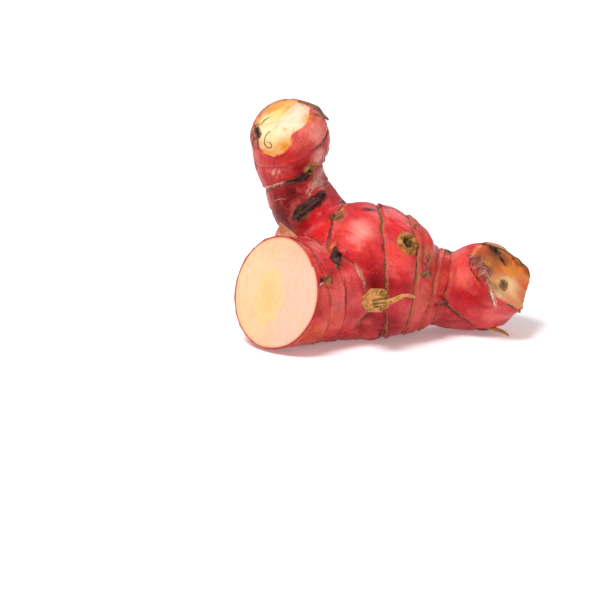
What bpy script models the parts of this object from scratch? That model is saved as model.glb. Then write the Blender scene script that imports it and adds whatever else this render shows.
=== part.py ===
"""A galangal root: one grown rhizome with a knife-cut branch, an upright shoot knob and a blunt end bud.

Run it with: blender --background --python part.py, or from Blender's text editor.

The tables are in millimetres: +X to the root's right, +Y to its back, +Z up. The root lies on z = 0, and
the origin is under the middle of its bounding box.
Each limb is a string of balls along a smooth curve. One skin goes over all the balls and is drawn onto the
limbs' smooth union, so that the crotches between limbs are rounded. The leaf scars that ring the limbs, the
round root scars and the bare patches on the healed ends are then raised from the skin by formulas.
"""

import math

import bmesh
import bpy
import numpy as np
from mathutils import Matrix, Vector

MM = 0.001

# Stations of each limb: x, y, z and radius.
LIMBS = {
    "body": [
        (-15.8, 5.1, 19.4, 12.5),
        (-12.5, 1.9, 19.1, 16.8),
        (-8.6, -0.7, 18.9, 18.6),
        (-4.7, -2.4, 18.3, 19.2),
        (0.9, -2.8, 16.9, 18.6),
        (4.9, -2.2, 15.5, 16.9),
        (9.7, -1.0, 13.9, 14.2),
        (14.9, 0.3, 13.0, 11.4),
        (19.2, 1.0, 11.7, 10.7),
        (23.7, 1.5, 11.9, 11.6),
        (27.6, 1.1, 12.3, 11.6),
    ],
    "end_bud": [
        (24.4, 2.9, 11.2, 10.5),
        (28.1, 0.3, 13.1, 12.0),
        (31.4, -3.2, 15.3, 11.0),
        (34.1, -6.8, 17.5, 10.5),
    ],
    "cut_branch": [
        (-33.7, -25.3, 17.8, 15.9),
        (-30.3, -17.5, 16.0, 15.5),
        (-23.7, -13.1, 15.2, 15.1),
        (-17.1, -8.8, 13.7, 14.4),
        (-10.6, -4.3, 11.4, 12.4),
        (-5.7, -0.1, 11.4, 11.0),
    ],
    "shoot_knob": [
        (-11.9, 5.0, 23.0, 12.0),
        (-16.4, 6.4, 28.1, 9.7),
        (-21.7, 7.7, 34.8, 9.6),
        (-24.8, 8.5, 41.8, 9.1),
        (-26.0, 8.1, 47.9, 10.2),
        (-25.9, 6.6, 53.9, 11.2),
    ],
    "back_bud": [
        (-9.0, 4.8, 14.3, 12.0),
        (-12.2, 14.2, 10.9, 10.5),
        (-13.9, 20.9, 8.6, 9.0),
    ],
}

# Where the root ends flat: a point on the plane, the way it faces and how softly it runs into the skin.
FLATS = {
    "branch_cut": ((-30.2, -17.5, 16.0), (-0.69, -0.66, 0.29), 0.0),
    "shoot_scar": ((-27.9, -0.9, 58.7), (-0.25, -0.76, 0.60), 1.0),
    "bud_scar": ((34.5, -8.6, 18.5), (0.60, -0.45, 0.66), 0.5),
    "bud_top": ((38.0, -1.3, 22.7), (0.58, 0.31, 0.76), 0.4),
    "bud_side": ((39.4, -4.4, 11.1), (0.90, -0.06, -0.42), 0.4),
}

# Leaf scars: the limbs that each one rings, its middle, the way to the tip, its reach and its strength.
RINGS = [
    (("body",), (-8.3, -0.9, 18.8), (0.90, -0.40, 0.16), 24, 0.8),
    (("body",), (-0.9, -2.8, 17.4), (1.00, 0.07, 0.03), 24, 1.0),
    (("body",), (5.3, -2.1, 15.3), (0.98, 0.19, -0.09), 22, 1.0),
    (("body",), (13.2, -0.1, 13.3), (0.96, -0.02, -0.26), 17, 0.9),
    (("body",), (15.9, 0.5, 12.7), (0.93, 0.10, -0.30), 16, 1.0),
    (("end_bud", "body"), (24.2, 3.0, 11.1), (0.73, -0.42, 0.54), 20, 1.2),
    (("cut_branch",), (-22.5, -12.3, 14.9), (-0.86, -0.49, -0.11), 20, 0.7),
    (("cut_branch",), (-19.6, -10.5, 14.4), (-0.76, -0.64, -0.03), 20, 0.9),
    (("cut_branch", "body"), (-19.0, -10.1, 14.3), (-0.61, -0.78, -0.17), 20, 1.0),
    (("shoot_knob",), (-25.9, 6.8, 53.3), (-0.39, -0.41, 0.82), 16, 0.6),
    (("shoot_knob",), (-25.1, 8.6, 42.6), (-0.39, 0.14, 0.91), 14, 1.0),
    (("shoot_knob",), (-23.2, 8.1, 37.6), (-0.45, 0.10, 0.89), 14, 0.4),
    (("back_bud",), (-11.7, 12.4, 11.6), (-0.20, 0.93, -0.30), 16, 0.8),
    (("back_bud",), (-13.3, 18.5, 9.4), (-0.25, 0.93, -0.25), 15, 0.8),
]

# Round scars where roots came out: place, radius, height of the rim and depth of the middle.
ROOT_SCARS = [
    ((-12.7, -8.3, 35.2), 2.4, 0.35, 0.25),
    ((6.5, -15.3, 29.3), 2.8, 0.75, 0.70),
    ((18.6, 0.9, 22.4), 1.6, 0.10, -1.20),
    ((-15.9, -24.5, 21.2), 1.6, 0.35, 0.10),
    ((-13.1, -18.9, 25.9), 2.6, 0.15, 0.35),
    ((-20.1, -1.4, 35.7), 4.0, 0.15, 0.30),
    ((-20.1, 0.0, 46.7), 1.9, 0.60, 0.60),
    ((33.3, -12.4, 17.0), 1.6, 0.15, 1.30),
    ((9.2, 11.1, 19.7), 2.2, 0.60, 0.60),
    ((2.8, 12.1, 10.1), 1.8, 0.40, 0.30),
    ((-3.6, 8.9, 33.2), 1.7, 0.40, 0.30),
    ((10.3, 0.3, 2.1), 2.0, 0.40, 0.50),
    ((-3.0, -11.5, 1.2), 1.8, 0.25, 0.40),
    ((-22.9, -4.4, 2.9), 1.9, 0.40, 0.40),
    ((-26.5, 10.7, 22.6), 2.0, 0.55, 0.50),
    ((-24.8, 17.9, 50.1), 1.8, 0.40, 0.40),
    ((-19.0, 16.5, 34.0), 1.7, 0.40, 0.30),
    ((27.2, 13.1, 15.2), 1.9, 0.50, 0.50),
    ((-14.8, 30.0, 9.0), 2.4, 0.40, 0.90),
]

# The bare patch on each healed end, in the end's plane: its middle, its mean radius, and then the cosine and
# sine parts of its edge, for one, two and three waves round.
PATCHES = {
    "shoot_scar": ((-1.1, 1.0), 9.5, (-1.5, 1.1), (-0.9, 1.0), (-0.3, 0.8)),
    "bud_scar": ((2.1, 1.7), 12.2, (-0.6, 0.0), (0.0, 0.1), (0.9, -0.2)),
}
PATCH_SIDE = 0.7  # a millimetre down the side of an end counts as this much outwards
PATCH_RAGGED = (0.4, 3.0)  # how far its edge strays from that, and how long the waves are
PATCH_CURL = (0.25, 0.5)  # height and width of the skin that curls up round it
PATCH_STEP = (-0.5, 0.3)  # the skin steps down over this, from the edge
PATCH_SINK = 0.35  # depth of the patch below the skin

# Dry bits that stand off the skin, as tapered rods: x, y, z and radius.
DRY_BITS = {
    "root_stub": [
        (-4.3, -16.7, 13.4, 2.90),
        (-3.4, -21.0, 14.6, 3.10),
        (-2.4, -23.8, 15.4, 3.15),
        (-1.5, -25.6, 15.9, 3.05),
    ],
    "root_strand": [
        (-0.9, -24.3, 15.1, 1.10),
        (1.9, -24.9, 15.6, 0.90),
        (4.4, -24.1, 16.5, 0.70),
        (6.3, -23.1, 16.5, 0.55),
        (8.0, -22.0, 15.7, 0.30),
    ],
    "crown_scale": [
        (-24.0, 8.9, 64.3, 0.40),
        (-21.5, 8.1, 63.6, 0.60),
        (-18.7, 7.8, 62.4, 0.70),
        (-17.0, 7.6, 60.7, 0.60),
        (-15.3, 7.6, 59.3, 0.30),
    ],
    "bud_scale": [
        (33.6, -11.1, 11.0, 0.50),
        (35.5, -11.4, 10.1, 0.70),
        (37.0, -11.1, 9.2, 0.55),
        (37.8, -10.8, 8.5, 0.25),
    ],
    "bud_fibre": [
        (29.2, -3.6, 2.2, 0.70),
        (32.1, -5.3, 1.8, 0.65),
        (33.7, -6.4, 1.6, 0.50),
        (35.0, -7.6, 1.0, 0.35),
    ],
}

# The torn papery scale behind the cut's upper rim: its outline, the lowest two points inside the branch.
PAPER_SCALE = [
    (-31.7, -10.0, 26.9),
    (-31.7, -11.3, 28.9),
    (-30.6, -10.7, 30.1),
    (-29.4, -9.5, 31.8),
    (-28.6, -8.3, 33.4),
    (-26.2, -10.0, 31.8),
    (-23.9, -11.7, 30.2),
    (-22.6, -12.2, 28.8),
    (-22.6, -11.0, 26.8),
]
PAPER = 0.7  # its thickness

HEALED_ENDS = ("shoot_scar", "bud_scar", "bud_top", "bud_side")
HEALED_REACH = 22.0  # a healed end is flattened this far round its place
CUT_REACH = 25.0  # the knife cut takes what is this near to its place
FLOOR_REACH = 200.0  # and the cut along the floor goes right across

# Leaf scars, across their line: height and half width of the groove, of the lip and of the skin drawn in.
# Along the line they stray from the plane, and are higher here and lower there: by how much, and how long
# the waves are.
GROOVE = (-0.45, 0.5)
LIP = (0.35, 0.5)
LIP_PLACE = 0.9  # the lip's distance from the groove
DRAWN_IN = (-0.40, 2.6)
STRAY = (0.3, 9.0)
UNEVEN = (0.35, 5.0)
FADE = 2.0  # a scar fades out over the last of its reach
LIMB_SHARE = (0.3, 0.7)  # and where its limb's share in the skin falls through this range

# Root scars, in parts of their radius.
RIM_PLACE = 0.8
RIM_WIDTH = 0.28
PIT_WALL = (0.2, 0.75)

CROTCH = 0.7  # how softly one limb runs into the next
BALL_STEP = 1.0  # spacing of the balls along a limb
SPINE_STEP = 0.4  # spacing of the points that the skin is measured from
LEAST_SLOPE = 0.3  # keeps the steps onto the skin short where its field is flat
VOXEL = 0.6
FACES = 9500
SHARP_EDGE = math.radians(45)


def length(vectors):
    return np.linalg.norm(vectors, axis=-1)


def unit(vector):
    return np.array(vector) / np.linalg.norm(vector)


def spine(stations, step):
    """A limb's centreline and radius: a Catmull-Rom curve through its stations, sampled about every step."""
    points = np.array(stations, float)
    ends = np.vstack([2 * points[0] - points[1], points, 2 * points[-1] - points[-2]])
    samples = []
    for i in range(1, len(ends) - 2):
        before, here, after, beyond = ends[i - 1 : i + 3]
        count = max(2, round(np.linalg.norm(after[:3] - here[:3]) / step))
        t = np.arange(count)[:, None] / count
        bend = 2 * before - 5 * here + 4 * after - beyond
        twist = 3 * here - before - 3 * after + beyond
        samples.append(0.5 * (2 * here + (after - before) * t + bend * t**2 + twist * t**3))
    samples.append(points[-1:])
    return np.vstack(samples)


class Limb:
    """The skin of one limb: rings square to its centreline, with half a ball over each end."""

    def __init__(self, stations):
        line = spine(stations, SPINE_STEP)
        along = np.gradient(line[:, :3], axis=0)
        step = length(along)
        taper = np.gradient(line[:, 3]) / step
        taper[[0, -1]] = 0
        place = np.concatenate([[0], np.cumsum(length(np.diff(line[:, :3], axis=0)))])
        self.table = np.column_stack([line, along / step[:, None], taper, place, step])

    def at(self, index):
        """The centreline's values at whole and part indices."""
        low = np.minimum(index.astype(int), len(self.table) - 2)
        part = (index - low)[:, None]
        row = self.table[low] * (1 - part) + self.table[low + 1] * part
        return row[:, :3], row[:, 3], row[:, 4:7], row[:, 7], row[:, 8], row[:, 9]

    def measure(self, points):
        """How far each point is outside the limb, the slope of that, and its place along the limb."""
        line = self.table[:, :3]
        index = ((line**2).sum(axis=1) - 2 * points @ line.T).argmin(axis=1).astype(float)
        for _ in range(3):
            centre, _, along, _, _, step = self.at(index)
            slip = ((points - centre) * along).sum(axis=1) / step
            index = np.clip(index + 0.8 * np.clip(slip, -1, 1), 0, len(line) - 1)
        centre, radius, along, taper, place, _ = self.at(index)
        out = points - centre
        apart = length(out)
        out /= np.maximum(apart, 1e-6)[:, None]
        return apart - radius, out - taper[:, None] * along, place


SKINS = {name: Limb(stations) for name, stations in LIMBS.items()}


def smooth_union(points):
    """How far each point is outside the root, the slope of that, and each limb's share in it."""
    found = [limb.measure(points) for limb in SKINS.values()]
    gaps = np.array([f[0] for f in found])
    lowest = gaps.min(axis=0)
    share = np.exp((lowest - gaps) / CROTCH)
    total = share.sum(axis=0)
    share /= total
    slope = sum(s[:, None] * f[1] for s, f in zip(share, found))
    return lowest - CROTCH * np.log(total), slope, dict(zip(SKINS, share))


def flattened(points, value, slope, place, facing, edge):
    """The root's field with a healed end taken off it as a flat with soft edges."""
    over = (points - np.array(place)) @ unit(facing)
    top, low = np.maximum(value, over), np.minimum(value, over)
    soft = top + edge * np.log1p(np.exp((low - top) / edge))
    near = length(points - np.array(place)) < HEALED_REACH
    mix = near / (1 + np.exp(np.clip((value - over) / edge, -50, 50)))
    return np.where(near, soft, value), slope * (1 - mix)[:, None] + unit(facing) * mix[:, None]


def field(points):
    value, slope, share = smooth_union(points)
    for end in HEALED_ENDS:
        value, slope = flattened(points, value, slope, *FLATS[end])
    return value, slope, share


def settle(points, steps):
    """The points drawn onto the surface of the field."""
    for _ in range(steps):
        value, slope, _ = field(points)
        points = points - (value / np.maximum((slope**2).sum(axis=1), LEAST_SLOPE))[:, None] * slope
    return points


def smooth_step(low, high, value):
    t = np.clip((value - low) / (high - low), 0, 1)
    return t * t * (3 - 2 * t)


def bell(value, width):
    return np.exp(-((value / width) ** 2))


def waver(points, size, seed):
    """A soft wandering value between about -1 and 1, with waves about as long as size."""
    turns = np.random.default_rng(seed)
    total = np.zeros(len(points))
    for _ in range(6):
        way = unit(turns.normal(size=3)) * turns.uniform(0.7, 1.4) * 2 * math.pi / size
        total += np.sin(points @ way + turns.uniform(0, 2 * math.pi))
    return total / 2.5


def leaf_scars(points, share):
    """Height of the leaf scars: a groove, a lip on its tip side, and the skin drawn in on both sides."""
    height = np.zeros(len(points))
    stray = STRAY[0] * waver(points, STRAY[1], seed=1)
    uneven = 1 + UNEVEN[0] * waver(points, UNEVEN[1], seed=2)
    for limbs, middle, facing, reach, strength in RINGS:
        beyond = (points - np.array(middle)) @ unit(facing) + stray
        strength *= smooth_step(*LIMB_SHARE, sum(share[limb] for limb in limbs))
        strength *= 1 - smooth_step(reach - FADE, reach, length(points - np.array(middle)))
        groove = GROOVE[0] * bell(beyond, GROOVE[1])
        lip = LIP[0] * bell(beyond - LIP_PLACE, LIP[1])
        drawn_in = DRAWN_IN[0] * bell(beyond, DRAWN_IN[1])
        height += strength * ((groove + lip) * uneven + drawn_in)
    return height


def root_scars(points):
    height = np.zeros(len(points))
    for place, radius, rim, depth in ROOT_SCARS:
        off = length(points - np.array(place)) / radius
        height += rim * bell(off - RIM_PLACE, RIM_WIDTH) - depth * (1 - smooth_step(*PIT_WALL, off))
    return height


def past_patch(points, end):
    """How far each point is outside the bare patch of a healed end, in its plane and down its sides."""
    place, facing = np.array(FLATS[end][0]), unit(FLATS[end][1])
    right = unit(np.cross((0, 0, 1), facing))
    middle, radius, *waves = PATCHES[end]
    x = (points - place) @ right - middle[0]
    y = (points - place) @ np.cross(facing, right) - middle[1]
    turn = np.arctan2(y, x)
    for count, (cosine, sine) in enumerate(waves, 1):
        radius = radius + cosine * np.cos(count * turn) + sine * np.sin(count * turn)
    down_side = np.maximum(0, (place - points) @ facing)
    ragged = PATCH_RAGGED[0] * waver(points, PATCH_RAGGED[1], seed=3)
    return np.hypot(x, y) + PATCH_SIDE * down_side - radius - ragged


def bare_patches(points):
    """Height of the healed ends: the bare patch lies lower than the skin, which curls up a little round it."""
    height = np.zeros(len(points))
    for end in PATCHES:
        past = past_patch(points, end)
        curl = PATCH_CURL[0] * bell(past - 0.5, PATCH_CURL[1])
        height += curl - PATCH_SINK * (1 - smooth_step(*PATCH_STEP, past))
    return height


def coords(mesh):
    flat = np.empty(len(mesh.vertices) * 3)
    mesh.vertices.foreach_get("co", flat)
    return flat.reshape(-1, 3) / MM


def set_coords(mesh, points):
    mesh.vertices.foreach_set("co", (points * MM).ravel())
    mesh.update()


def apply_modifiers(obj):
    graph = bpy.context.evaluated_depsgraph_get()
    mesh = bpy.data.meshes.new_from_object(obj.evaluated_get(graph))
    obj.modifiers.clear()
    obj.data = mesh


def remesh(obj):
    skin = obj.modifiers.new("skin", "REMESH")
    skin.mode = "VOXEL"
    skin.voxel_size = VOXEL * MM
    apply_modifiers(obj)


def ball_strings(name):
    """Every limb as a string of balls, all in one mesh."""
    mesh = bmesh.new()
    for stations in LIMBS.values():
        for x, y, z, radius in spine(stations, BALL_STEP):
            at = Matrix.Translation((x * MM, y * MM, z * MM))
            bmesh.ops.create_icosphere(mesh, subdivisions=3, radius=radius * MM, matrix=at)
    return new_object(name, mesh)


def skin_over(obj):
    """One skin over the balls, drawn onto the field, then meshed evenly and drawn on again."""
    for steps in (5, 3):
        remesh(obj)
        set_coords(obj.data, settle(coords(obj.data), steps))


def raise_scars(obj):
    points = coords(obj.data)
    _, slope, share = field(points)
    out = slope / length(slope)[:, None]
    height = leaf_scars(points, share) + root_scars(points) + bare_patches(points)
    set_coords(obj.data, points + height[:, None] * out)


def thin_out(obj):
    fewer = obj.modifiers.new("fewer", "DECIMATE")
    fewer.ratio = FACES / (2 * len(obj.data.polygons))
    apply_modifiers(obj)


def new_object(name, mesh):
    data = bpy.data.meshes.new(name)
    mesh.to_mesh(data)
    mesh.free()
    obj = bpy.data.objects.new(name, data)
    bpy.context.scene.collection.objects.link(obj)
    return obj


def rod(name, stations, sides=10):
    """A tapered rod through its stations, with a frayed far end."""
    mesh = bmesh.new()
    line = spine(stations, 1.0)
    along = np.gradient(line[:, :3], axis=0)
    rings = []
    for place, way, radius in zip(line[:, :3], along, line[:, 3]):
        side = unit(np.cross(way, (0, 0, 1)))
        up = unit(np.cross(side, way))
        ring = []
        for turn in np.arange(sides) * 2 * math.pi / sides:
            ring.append(place + radius * (math.cos(turn) * side + math.sin(turn) * up))
        rings.append(ring)
    for i in range(0, sides, 2):
        rings[-1][i] = rings[-1][i] + 0.35 * line[-1, 3] * unit(along[-1])
    rings = [[mesh.verts.new(p * MM) for p in ring] for ring in rings]
    first, last = (mesh.verts.new(p * MM) for p in (line[0, :3], line[-1, :3]))
    for ring, beyond in zip(rings, rings[1:]):
        for i in range(sides):
            j = (i + 1) % sides
            mesh.faces.new((ring[i], ring[j], beyond[j], beyond[i]))
    for i in range(sides):
        j = (i + 1) % sides
        mesh.faces.new((rings[0][j], rings[0][i], first))
        mesh.faces.new((rings[-1][i], rings[-1][j], last))
    bmesh.ops.recalc_face_normals(mesh, faces=mesh.faces[:])
    return new_object(name, mesh)


def paper_scale():
    mesh = bmesh.new()
    front = mesh.faces.new([mesh.verts.new(np.array(p) * MM) for p in PAPER_SCALE])
    back = bmesh.ops.extrude_face_region(mesh, geom=[front])
    moved = [g for g in back["geom"] if isinstance(g, bmesh.types.BMVert)]
    bmesh.ops.translate(mesh, verts=moved, vec=(0, PAPER * MM, 0))
    bmesh.ops.recalc_face_normals(mesh, faces=mesh.faces[:])
    return new_object("paper_scale", mesh)


def fuse(obj, other):
    union = obj.modifiers.new("union", "BOOLEAN")
    union.operation = "UNION"
    union.object = other
    apply_modifiers(obj)
    bpy.data.objects.remove(other)


def cut_flat(obj, place, facing, reach):
    """Cuts the root flat with a knife, only within reach of the place."""
    mesh = bmesh.new()
    mesh.from_mesh(obj.data)
    place = Vector(place) * MM
    faces = [f for f in mesh.faces if (f.calc_center_median() - place).length < reach * MM]
    near = list({g for f in faces for g in (f, *f.edges, *f.verts)})
    cut = bmesh.ops.bisect_plane(mesh, geom=near, plane_co=place, plane_no=facing, clear_outer=True)
    edges = [e for e in cut["geom_cut"] if isinstance(e, bmesh.types.BMEdge)]
    bmesh.ops.holes_fill(mesh, edges=edges, sides=0)
    mesh.to_mesh(obj.data)
    mesh.free()


def skin_material():
    material = bpy.data.materials.new("galangal_skin")
    material.use_nodes = True
    surface = material.node_tree.nodes["Principled BSDF"]
    surface.inputs["Base Color"].default_value = (0.50, 0.055, 0.045, 1)
    surface.inputs["Roughness"].default_value = 0.35
    surface.inputs["Metallic"].default_value = 0
    return material


def main():
    for obj in list(bpy.data.objects):
        bpy.data.objects.remove(obj)
    rhizome = ball_strings("rhizome")
    skin_over(rhizome)
    raise_scars(rhizome)
    thin_out(rhizome)
    cut_place, cut_facing, _ = FLATS["branch_cut"]
    cut_flat(rhizome, cut_place, cut_facing, CUT_REACH)
    fuse(rhizome, paper_scale())
    for name, stations in DRY_BITS.items():
        fuse(rhizome, rod(name, stations))
    cut_flat(rhizome, (0, 0, 0), (0, 0, -1), FLOOR_REACH)
    rhizome.data.materials.clear()
    rhizome.data.materials.append(skin_material())
    rhizome.data.shade_smooth()
    rhizome.data.set_sharp_from_angle(angle=SHARP_EDGE)


main()
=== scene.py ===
"""The looks of a galangal root: waxy red skin with leaf scars, a fresh cut, healed ends and dry rootlets.

The tables are in millimetres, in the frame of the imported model: +X to the root's right, +Y to its back and
+Z up, and the root stands on z = 0. Tables headed as seen are places in the photograph, in pixels from its
upper left corner, and are carried onto the skin along the camera's line of sight.
"""

import math

import bmesh
import bpy
import numpy as np
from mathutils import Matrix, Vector
from mathutils.bvhtree import BVHTree


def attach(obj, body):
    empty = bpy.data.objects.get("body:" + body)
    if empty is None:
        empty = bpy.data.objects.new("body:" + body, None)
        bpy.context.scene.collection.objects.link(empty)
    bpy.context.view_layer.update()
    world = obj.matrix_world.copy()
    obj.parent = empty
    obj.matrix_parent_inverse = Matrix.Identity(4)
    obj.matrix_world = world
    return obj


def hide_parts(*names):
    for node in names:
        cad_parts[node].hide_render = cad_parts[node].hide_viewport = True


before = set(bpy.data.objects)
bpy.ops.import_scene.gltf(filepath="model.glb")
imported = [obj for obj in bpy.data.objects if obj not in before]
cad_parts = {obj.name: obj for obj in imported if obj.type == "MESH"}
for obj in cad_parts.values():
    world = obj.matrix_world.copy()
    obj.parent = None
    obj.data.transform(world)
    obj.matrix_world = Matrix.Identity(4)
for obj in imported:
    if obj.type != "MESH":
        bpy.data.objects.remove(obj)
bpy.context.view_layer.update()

MM = 0.001

# Stations of each limb: x, y, z and radius.
LIMBS = {
    "body": [
        (-15.8, 5.1, 19.4, 12.5),
        (-12.5, 1.9, 19.1, 16.8),
        (-8.6, -0.7, 18.9, 18.6),
        (-4.7, -2.4, 18.3, 19.2),
        (0.9, -2.8, 16.9, 18.6),
        (4.9, -2.2, 15.5, 16.9),
        (9.7, -1.0, 13.9, 14.2),
        (14.9, 0.3, 13.0, 11.4),
        (19.2, 1.0, 11.7, 10.7),
        (23.7, 1.5, 11.9, 11.6),
        (27.6, 1.1, 12.3, 11.6),
    ],
    "end_bud": [
        (24.4, 2.9, 11.2, 10.5),
        (28.1, 0.3, 13.1, 12.0),
        (31.4, -3.2, 15.3, 11.0),
        (34.1, -6.8, 17.5, 10.5),
    ],
    "cut_branch": [
        (-33.7, -25.3, 17.8, 15.9),
        (-30.3, -17.5, 16.0, 15.5),
        (-23.7, -13.1, 15.2, 15.1),
        (-17.1, -8.8, 13.7, 14.4),
        (-10.6, -4.3, 11.4, 12.4),
        (-5.7, -0.1, 11.4, 11.0),
    ],
    "shoot_knob": [
        (-11.9, 5.0, 23.0, 12.0),
        (-16.4, 6.4, 28.1, 9.7),
        (-21.7, 7.7, 34.8, 9.6),
        (-24.8, 8.5, 41.8, 9.1),
        (-26.0, 8.1, 47.9, 10.2),
        (-25.9, 6.6, 53.9, 11.2),
    ],
    "back_bud": [
        (-9.0, 4.8, 14.3, 12.0),
        (-12.2, 14.2, 10.9, 10.5),
        (-13.9, 20.9, 8.6, 9.0),
    ],
}

# Where the root ends flat: a point on the plane, the way it faces and how softly it runs into the skin.
FLATS = {
    "branch_cut": ((-30.2, -17.5, 16.0), (-0.69, -0.66, 0.29), 0.0),
    "shoot_scar": ((-27.9, -0.9, 58.7), (-0.25, -0.76, 0.60), 1.0),
    "bud_scar": ((34.5, -8.6, 18.5), (0.60, -0.45, 0.66), 0.5),
    "bud_top": ((38.0, -1.3, 22.7), (0.58, 0.31, 0.76), 0.4),
    "bud_side": ((39.4, -4.4, 11.1), (0.90, -0.06, -0.42), 0.4),
}

# Leaf scars: the limbs that each one rings, its middle, the way to the tip, its reach and its strength, and
# then half the width of its corky band, how brown the band is, and how tan the skin is round it.
RINGS = [
    (("body",), (-8.3, -0.9, 18.8), (0.90, -0.40, 0.16), 24, 0.8, 0.20, 0.8, 0.3),
    (("body",), (-0.9, -2.8, 17.4), (1.00, 0.07, 0.03), 24, 1.0, 0.22, 1.0, 0.2),
    (("body",), (5.3, -2.1, 15.3), (0.98, 0.19, -0.09), 22, 1.0, 0.18, 0.9, 0.7),
    (("body",), (13.2, -0.1, 13.3), (0.96, -0.02, -0.26), 17, 0.9, 0.12, 0.5, 0.6),
    (("body",), (15.9, 0.5, 12.7), (0.93, 0.10, -0.30), 16, 1.0, 0.13, 0.5, 0.5),
    (("end_bud", "body"), (24.2, 3.0, 11.1), (0.73, -0.42, 0.54), 20, 1.2, 0.22, 1.0, 0.1),
    (("cut_branch",), (-22.5, -12.3, 14.9), (-0.86, -0.49, -0.11), 20, 0.7, 0.11, 0.35, 0.1),
    (("cut_branch",), (-19.6, -10.5, 14.4), (-0.76, -0.64, -0.03), 20, 0.9, 0.13, 0.45, 0.1),
    (("cut_branch", "body"), (-19.0, -10.1, 14.3), (-0.61, -0.78, -0.17), 20, 1.0, 0.14, 0.5, 0.2),
    (("shoot_knob",), (-25.9, 6.8, 53.3), (-0.39, -0.41, 0.82), 16, 0.6, 0.11, 0.3, 0.1),
    (("shoot_knob",), (-25.1, 8.6, 42.6), (-0.39, 0.14, 0.91), 14, 1.0, 0.16, 0.8, 0.3),
    (("shoot_knob",), (-23.2, 8.1, 37.6), (-0.45, 0.10, 0.89), 14, 0.4, 0.10, 0.3, 0.1),
    (("back_bud",), (-11.7, 12.4, 11.6), (-0.20, 0.93, -0.30), 16, 0.8, 0.20, 0.9, 0.4),
    (("back_bud",), (-13.3, 18.5, 9.4), (-0.25, 0.93, -0.25), 15, 0.8, 0.20, 0.9, 0.4),
]

# Round scars where roots came out: place, radius, height of the rim and depth of the middle.
ROOT_SCARS = [
    ((-12.7, -8.3, 35.2), 2.4, 0.35, 0.25),
    ((6.5, -15.3, 29.3), 2.8, 0.75, 0.70),
    ((18.6, 0.9, 22.4), 1.6, 0.10, -1.20),
    ((-15.9, -24.5, 21.2), 1.6, 0.35, 0.10),
    ((-13.1, -18.9, 25.9), 2.6, 0.15, 0.35),
    ((-20.1, -1.4, 35.7), 4.0, 0.15, 0.30),
    ((-20.1, 0.0, 46.7), 1.9, 0.60, 0.60),
    ((33.3, -12.4, 17.0), 1.6, 0.15, 1.30),
    ((9.2, 11.1, 19.7), 2.2, 0.60, 0.60),
    ((2.8, 12.1, 10.1), 1.8, 0.40, 0.30),
    ((-3.6, 8.9, 33.2), 1.7, 0.40, 0.30),
    ((10.3, 0.3, 2.1), 2.0, 0.40, 0.50),
    ((-3.0, -11.5, 1.2), 1.8, 0.25, 0.40),
    ((-22.9, -4.4, 2.9), 1.9, 0.40, 0.40),
    ((-26.5, 10.7, 22.6), 2.0, 0.55, 0.50),
    ((-24.8, 17.9, 50.1), 1.8, 0.40, 0.40),
    ((-19.0, 16.5, 34.0), 1.7, 0.40, 0.30),
    ((27.2, 13.1, 15.2), 1.9, 0.50, 0.50),
    ((-14.8, 30.0, 9.0), 2.4, 0.40, 0.90),
]

# Dry bits that stand off the skin, as tapered rods: x, y, z and radius.
DRY_BITS = {
    "root_stub": [
        (-4.3, -16.7, 13.4, 2.90),
        (-3.4, -21.0, 14.6, 3.10),
        (-2.4, -23.8, 15.4, 3.15),
        (-1.5, -25.6, 15.9, 3.05),
    ],
    "root_strand": [
        (-0.9, -24.3, 15.1, 1.10),
        (1.9, -24.9, 15.6, 0.90),
        (4.4, -24.1, 16.5, 0.70),
        (6.3, -23.1, 16.5, 0.55),
        (8.0, -22.0, 15.7, 0.30),
    ],
    "crown_scale": [
        (-24.0, 8.9, 64.3, 0.40),
        (-21.5, 8.1, 63.6, 0.60),
        (-18.7, 7.8, 62.4, 0.70),
        (-17.0, 7.6, 60.7, 0.60),
        (-15.3, 7.6, 59.3, 0.30),
    ],
    "bud_scale": [
        (33.6, -11.1, 11.0, 0.50),
        (35.5, -11.4, 10.1, 0.70),
        (37.0, -11.1, 9.2, 0.55),
        (37.8, -10.8, 8.5, 0.25),
    ],
    "bud_fibre": [
        (29.2, -3.6, 2.2, 0.70),
        (32.1, -5.3, 1.8, 0.65),
        (33.7, -6.4, 1.6, 0.50),
        (35.0, -7.6, 1.0, 0.35),
    ],
}

# The torn papery scale behind the cut's upper rim: its outline, the lowest two points inside the branch.
PAPER_SCALE = [
    (-31.7, -10.0, 26.9),
    (-31.7, -11.3, 28.9),
    (-30.6, -10.7, 30.1),
    (-29.4, -9.5, 31.8),
    (-28.6, -8.3, 33.4),
    (-26.2, -10.0, 31.8),
    (-23.9, -11.7, 30.2),
    (-22.6, -12.2, 28.8),
    (-22.6, -11.0, 26.8),
]

# The bare patch on each healed end, in the end's plane: its middle, its mean radius, and then the cosine
# and sine parts of its edge, for one, two and three waves round.
PATCHES = {
    "shoot_scar": ((-1.1, 1.0), 9.5, (-1.5, 1.1), (-0.9, 1.0), (-0.3, 0.8)),
    "bud_scar": ((2.1, 1.7), 12.2, (-0.6, 0.0), (0.0, 0.1), (0.9, -0.2)),
}

# The camera: how far it looks down, its distance from the point that it looks at, and the scale there.
CAMERA_TILT = math.radians(15)
CAMERA_DISTANCE = 600.0
CAMERA_AIM = (-23.19, -4.58, 10.3)
MM_PER_PIXEL = 0.28
PICTURE = 600  # pixels across
FILM = 36  # width of the camera's film, in millimetres
SIGHT = (0.01, 20)  # nearest and farthest that the camera sees, in metres
SEARCH = (12, 0.5)  # skin is looked for this far round a picture point, in steps, both in pixels
SEARCH_WAYS = 16  # and in this many directions

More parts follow.
